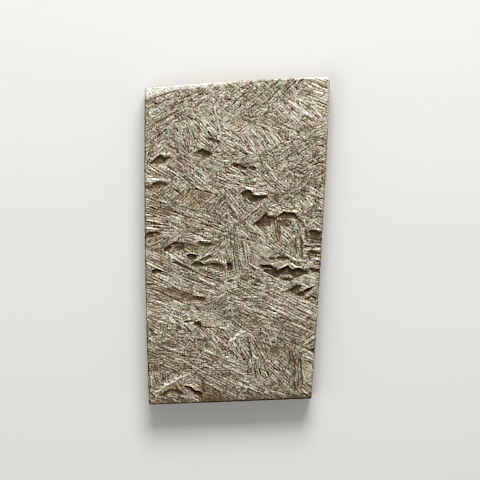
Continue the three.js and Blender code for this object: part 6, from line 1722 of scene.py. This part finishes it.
def metal_material(name, group, base, rough, contrast, saw_marks):
    """Etched nickel-iron. Lamellae, hollows and crests set its colour, gloss and bump.

    The saw's marks run level round the sides.
    """
    material = bpy.data.materials.new(name)
    material.use_nodes = True
    nodes = Nodes(material.node_tree)
    shader = material.node_tree.nodes["Principled BSDF"].inputs

    def mark(attribute_name, output="Fac"):
        return nodes.add("ShaderNodeAttribute", attribute_name=attribute_name).outputs[output]

    place = nodes.add("ShaderNodeTexCoord").outputs["Object"]
    field = two_lays(nodes, "ShaderNodeGroup", group, place, mark("lay", "Vector"), LAMELLA_SIZES)
    grain = nodes.add("ShaderNodeTexNoise", {"Vector": place, "Scale": 7500.0, "Detail": 1.5})
    fine = nodes.remap(grain.outputs[0], 0.3, 0.7, -1.0, 1.0)
    level_streaks = nodes.vector("MULTIPLY", place, (150.0, 150.0, 9000.0))
    saw = nodes.add("ShaderNodeTexNoise", {"Vector": level_streaks, "Scale": 1.0, "Detail": 2.0})
    saw_lines = nodes.remap(saw.outputs[0], 0.3, 0.7, -1.0, 1.0)
    warm_patches = nodes.add("ShaderNodeTexNoise", {"Vector": place, "Scale": 900.0, "Detail": 2.0})
    green_patches = nodes.add("ShaderNodeTexNoise", {"Vector": place, "Scale": 1300.0, "Detail": 2.0})

    marked = nodes.math("MAXIMUM", mark("crest"), mark("hollow"))
    quiet = nodes.remap(marked, 0.0, 1.0, 1.0, 0.45)
    calm = nodes.remap(mark("etch"), 0.1, 1.0, 0.7, 1.0)
    quiet = nodes.math("MULTIPLY", quiet, calm)
    # The grooves between the lamellae are darkened with painted shade
    lamellae = nodes.total(
        0.0, [(field["Streaks"], 0.12), (field["Plates"], 0.09), (field["Grooves"], -0.32), (fine, 0.14)]
    )
    # Colour marks: the hollow mark is the dark oxide of the hollows and furrows, with painted shade in the
    # furrows and along the left and bottom edges; the crest mark is partly the ridges' brighter metal and
    # partly a painted highlight; the tone mark is a painted sheen of the fields, a painted highlight on the
    # top and right edges and painted shade at the bottom, over tone that differs at random
    value = nodes.total(
        base,
        [
            (nodes.math("MULTIPLY", lamellae, quiet), contrast),
            (mark("crest"), 0.24),
            (mark("hollow"), -0.39),
            (mark("tone"), 0.35),
            (saw_lines, saw_marks),
        ],
    )
    ramp = nodes.add("ShaderNodeValToRGB", {0: value})
    elements = ramp.color_ramp.elements
    for element, (position, colour) in zip(elements, (METAL_TONES[0], METAL_TONES[-1])):
        element.position = position
        element.color = (*colour, 1)
    for position, colour in METAL_TONES[1:-1]:
        elements.new(position).color = (*colour, 1)
    tints = [
        (nodes.remap(warm_patches.outputs[0], 0.4, 0.62), WARM_TINT),
        (nodes.remap(green_patches.outputs[0], 0.42, 0.62), GREEN_TINT),
        (mark("rust"), RUST_TINT),
    ]
    colour = ramp.outputs[0]
    for share, tint in tints:
        mix = nodes.add("ShaderNodeMix", {"Factor": share}, data_type="RGBA", blend_type="MULTIPLY")
        first, second = (socket for socket in mix.inputs if socket.type == "RGBA")
        nodes.feed(first, colour)
        nodes.feed(second, (*tint, 1))
        colour = next(socket for socket in mix.outputs if socket.type == "RGBA")
    nodes.feed(shader["Base Color"], colour)

    roughness = nodes.total(
        rough, [(mark("hollow"), 0.2), (mark("crest"), -0.08), (field["Plates"], -0.05), (fine, 0.05)]
    )
    nodes.feed(shader["Roughness"], roughness)
    metallic = nodes.total(0.5, [(mark("rust"), -0.3)])
    nodes.feed(shader["Metallic"], metallic)

    height = nodes.total(
        0.0, [(field["Streaks"], 0.25), (field["Plates"], 0.2), (field["Grooves"], -0.8), (fine, 0.2)]
    )
    height = nodes.math("ADD", height, nodes.math("MULTIPLY", saw_lines, 4.0 * saw_marks))
    bump = nodes.add("ShaderNodeBump", {"Strength": 0.7, "Distance": 0.025 * MM, "Height": height})
    nodes.feed(shader["Normal"], bump.outputs[0])
    return material


surface = build_slice()
shader_field = field_group("lamella_colour_field", "ShaderNodeTree")
relief_field = field_group("lamella_relief_field", "GeometryNodeTree")
etched_face = metal_material(
    "etched_face", shader_field, base=0.516, rough=0.57, contrast=1.31, saw_marks=0.0
)
sawn_side = metal_material(
    "sawn_side", shader_field, base=0.42, rough=0.5, contrast=0.5, saw_marks=0.08
)
relief_tree = etched_relief(relief_field, etched_face, sawn_side)
slice_piece = finished_piece(
    surface,
    relief_tree,
    {"Streak height": 0.006 * MM, "Groove depth": 0.012 * MM},
)
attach(slice_piece, "root")
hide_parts("meteorite_slice")


def plain_floor():
    """A pale floor that the slice lies on."""
    mesh = bpy.data.meshes.new("floor_mesh")
    half = 0.6
    corners = [(-half, -half, 0), (half, -half, 0), (half, half, 0), (-half, half, 0)]
    mesh.from_pydata(corners, [], [(0, 1, 2, 3)])
    floor = bpy.data.objects.new("floor", mesh)
    bpy.context.scene.collection.objects.link(floor)
    material = bpy.data.materials.new("pale_floor")
    material.use_nodes = True
    shader = material.node_tree.nodes["Principled BSDF"]
    shader.inputs["Base Color"].default_value = (0.6, 0.59, 0.57, 1)
    shader.inputs["Roughness"].default_value = 0.8
    mesh.materials.append(material)


def area_light(name, azimuth, elevation, distance, size, power, colour):
    """A soft light that looks at the slice, from an azimuth anticlockwise of +X."""
    light = bpy.data.lights.new(name, "AREA")
    light.shape = "DISK"
    light.size = size
    light.energy = power
    light.color = colour
    lamp = bpy.data.objects.new(name, light)
    turn, rise = math.radians(azimuth), math.radians(elevation)
    way = Vector((math.cos(turn) * math.cos(rise), math.sin(turn) * math.cos(rise), math.sin(rise)))
    lamp.location = way * distance
    lamp.rotation_euler = way.to_track_quat("Z", "Y").to_euler()
    bpy.context.scene.collection.objects.link(lamp)


def studio():
    """Soft light from above the slice's wide end, with a weak even fill."""
    area_light("key_light", 84, 42, 0.22, 0.12, 0.62, (0.98, 0.99, 1.0))
    area_light("fill_light", 215, 60, 0.35, 0.25, 0.3, (0.9, 0.95, 1.0))
    world = bpy.data.worlds.new("studio")
    world.use_nodes = True
    world.node_tree.nodes["Background"].inputs[0].default_value = (0.83, 0.8, 0.76, 1)
    world.node_tree.nodes["Background"].inputs[1].default_value = 0.45
    bpy.context.scene.world = world
    bpy.context.scene.view_settings.view_transform = "Standard"


def crisp_picture():
    """A light sharpening of the finished picture."""
    scene = bpy.context.scene
    scene.use_nodes = True
    tree = scene.node_tree
    sharpen = tree.nodes.new("CompositorNodeFilter")
    sharpen.filter_type = "SHARPEN"
    sharpen.inputs["Fac"].default_value = 0.06
    tree.links.new(tree.nodes["Render Layers"].outputs["Image"], sharpen.inputs["Image"])
    tree.links.new(sharpen.outputs["Image"], tree.nodes["Composite"].inputs["Image"])


def camera():
    """A camera straight above the slice, with the slice's length up the picture."""
    picture_span = 44.44 * MM
    picture_middle = (0.255 * MM, 0.046 * MM)
    distance = 0.24
    sensor = 36.0
    data = bpy.data.cameras.new("camera")
    data.sensor_width = sensor
    data.lens = sensor * distance / picture_span
    data.clip_start = 0.01
    data.clip_end = 10.0
    view = bpy.data.objects.new("camera", data)
    view.location = (*picture_middle, THICKNESS * MM + distance)
    bpy.context.scene.collection.objects.link(view)
    bpy.context.scene.camera = view


plain_floor()
studio()
camera()
crisp_picture()
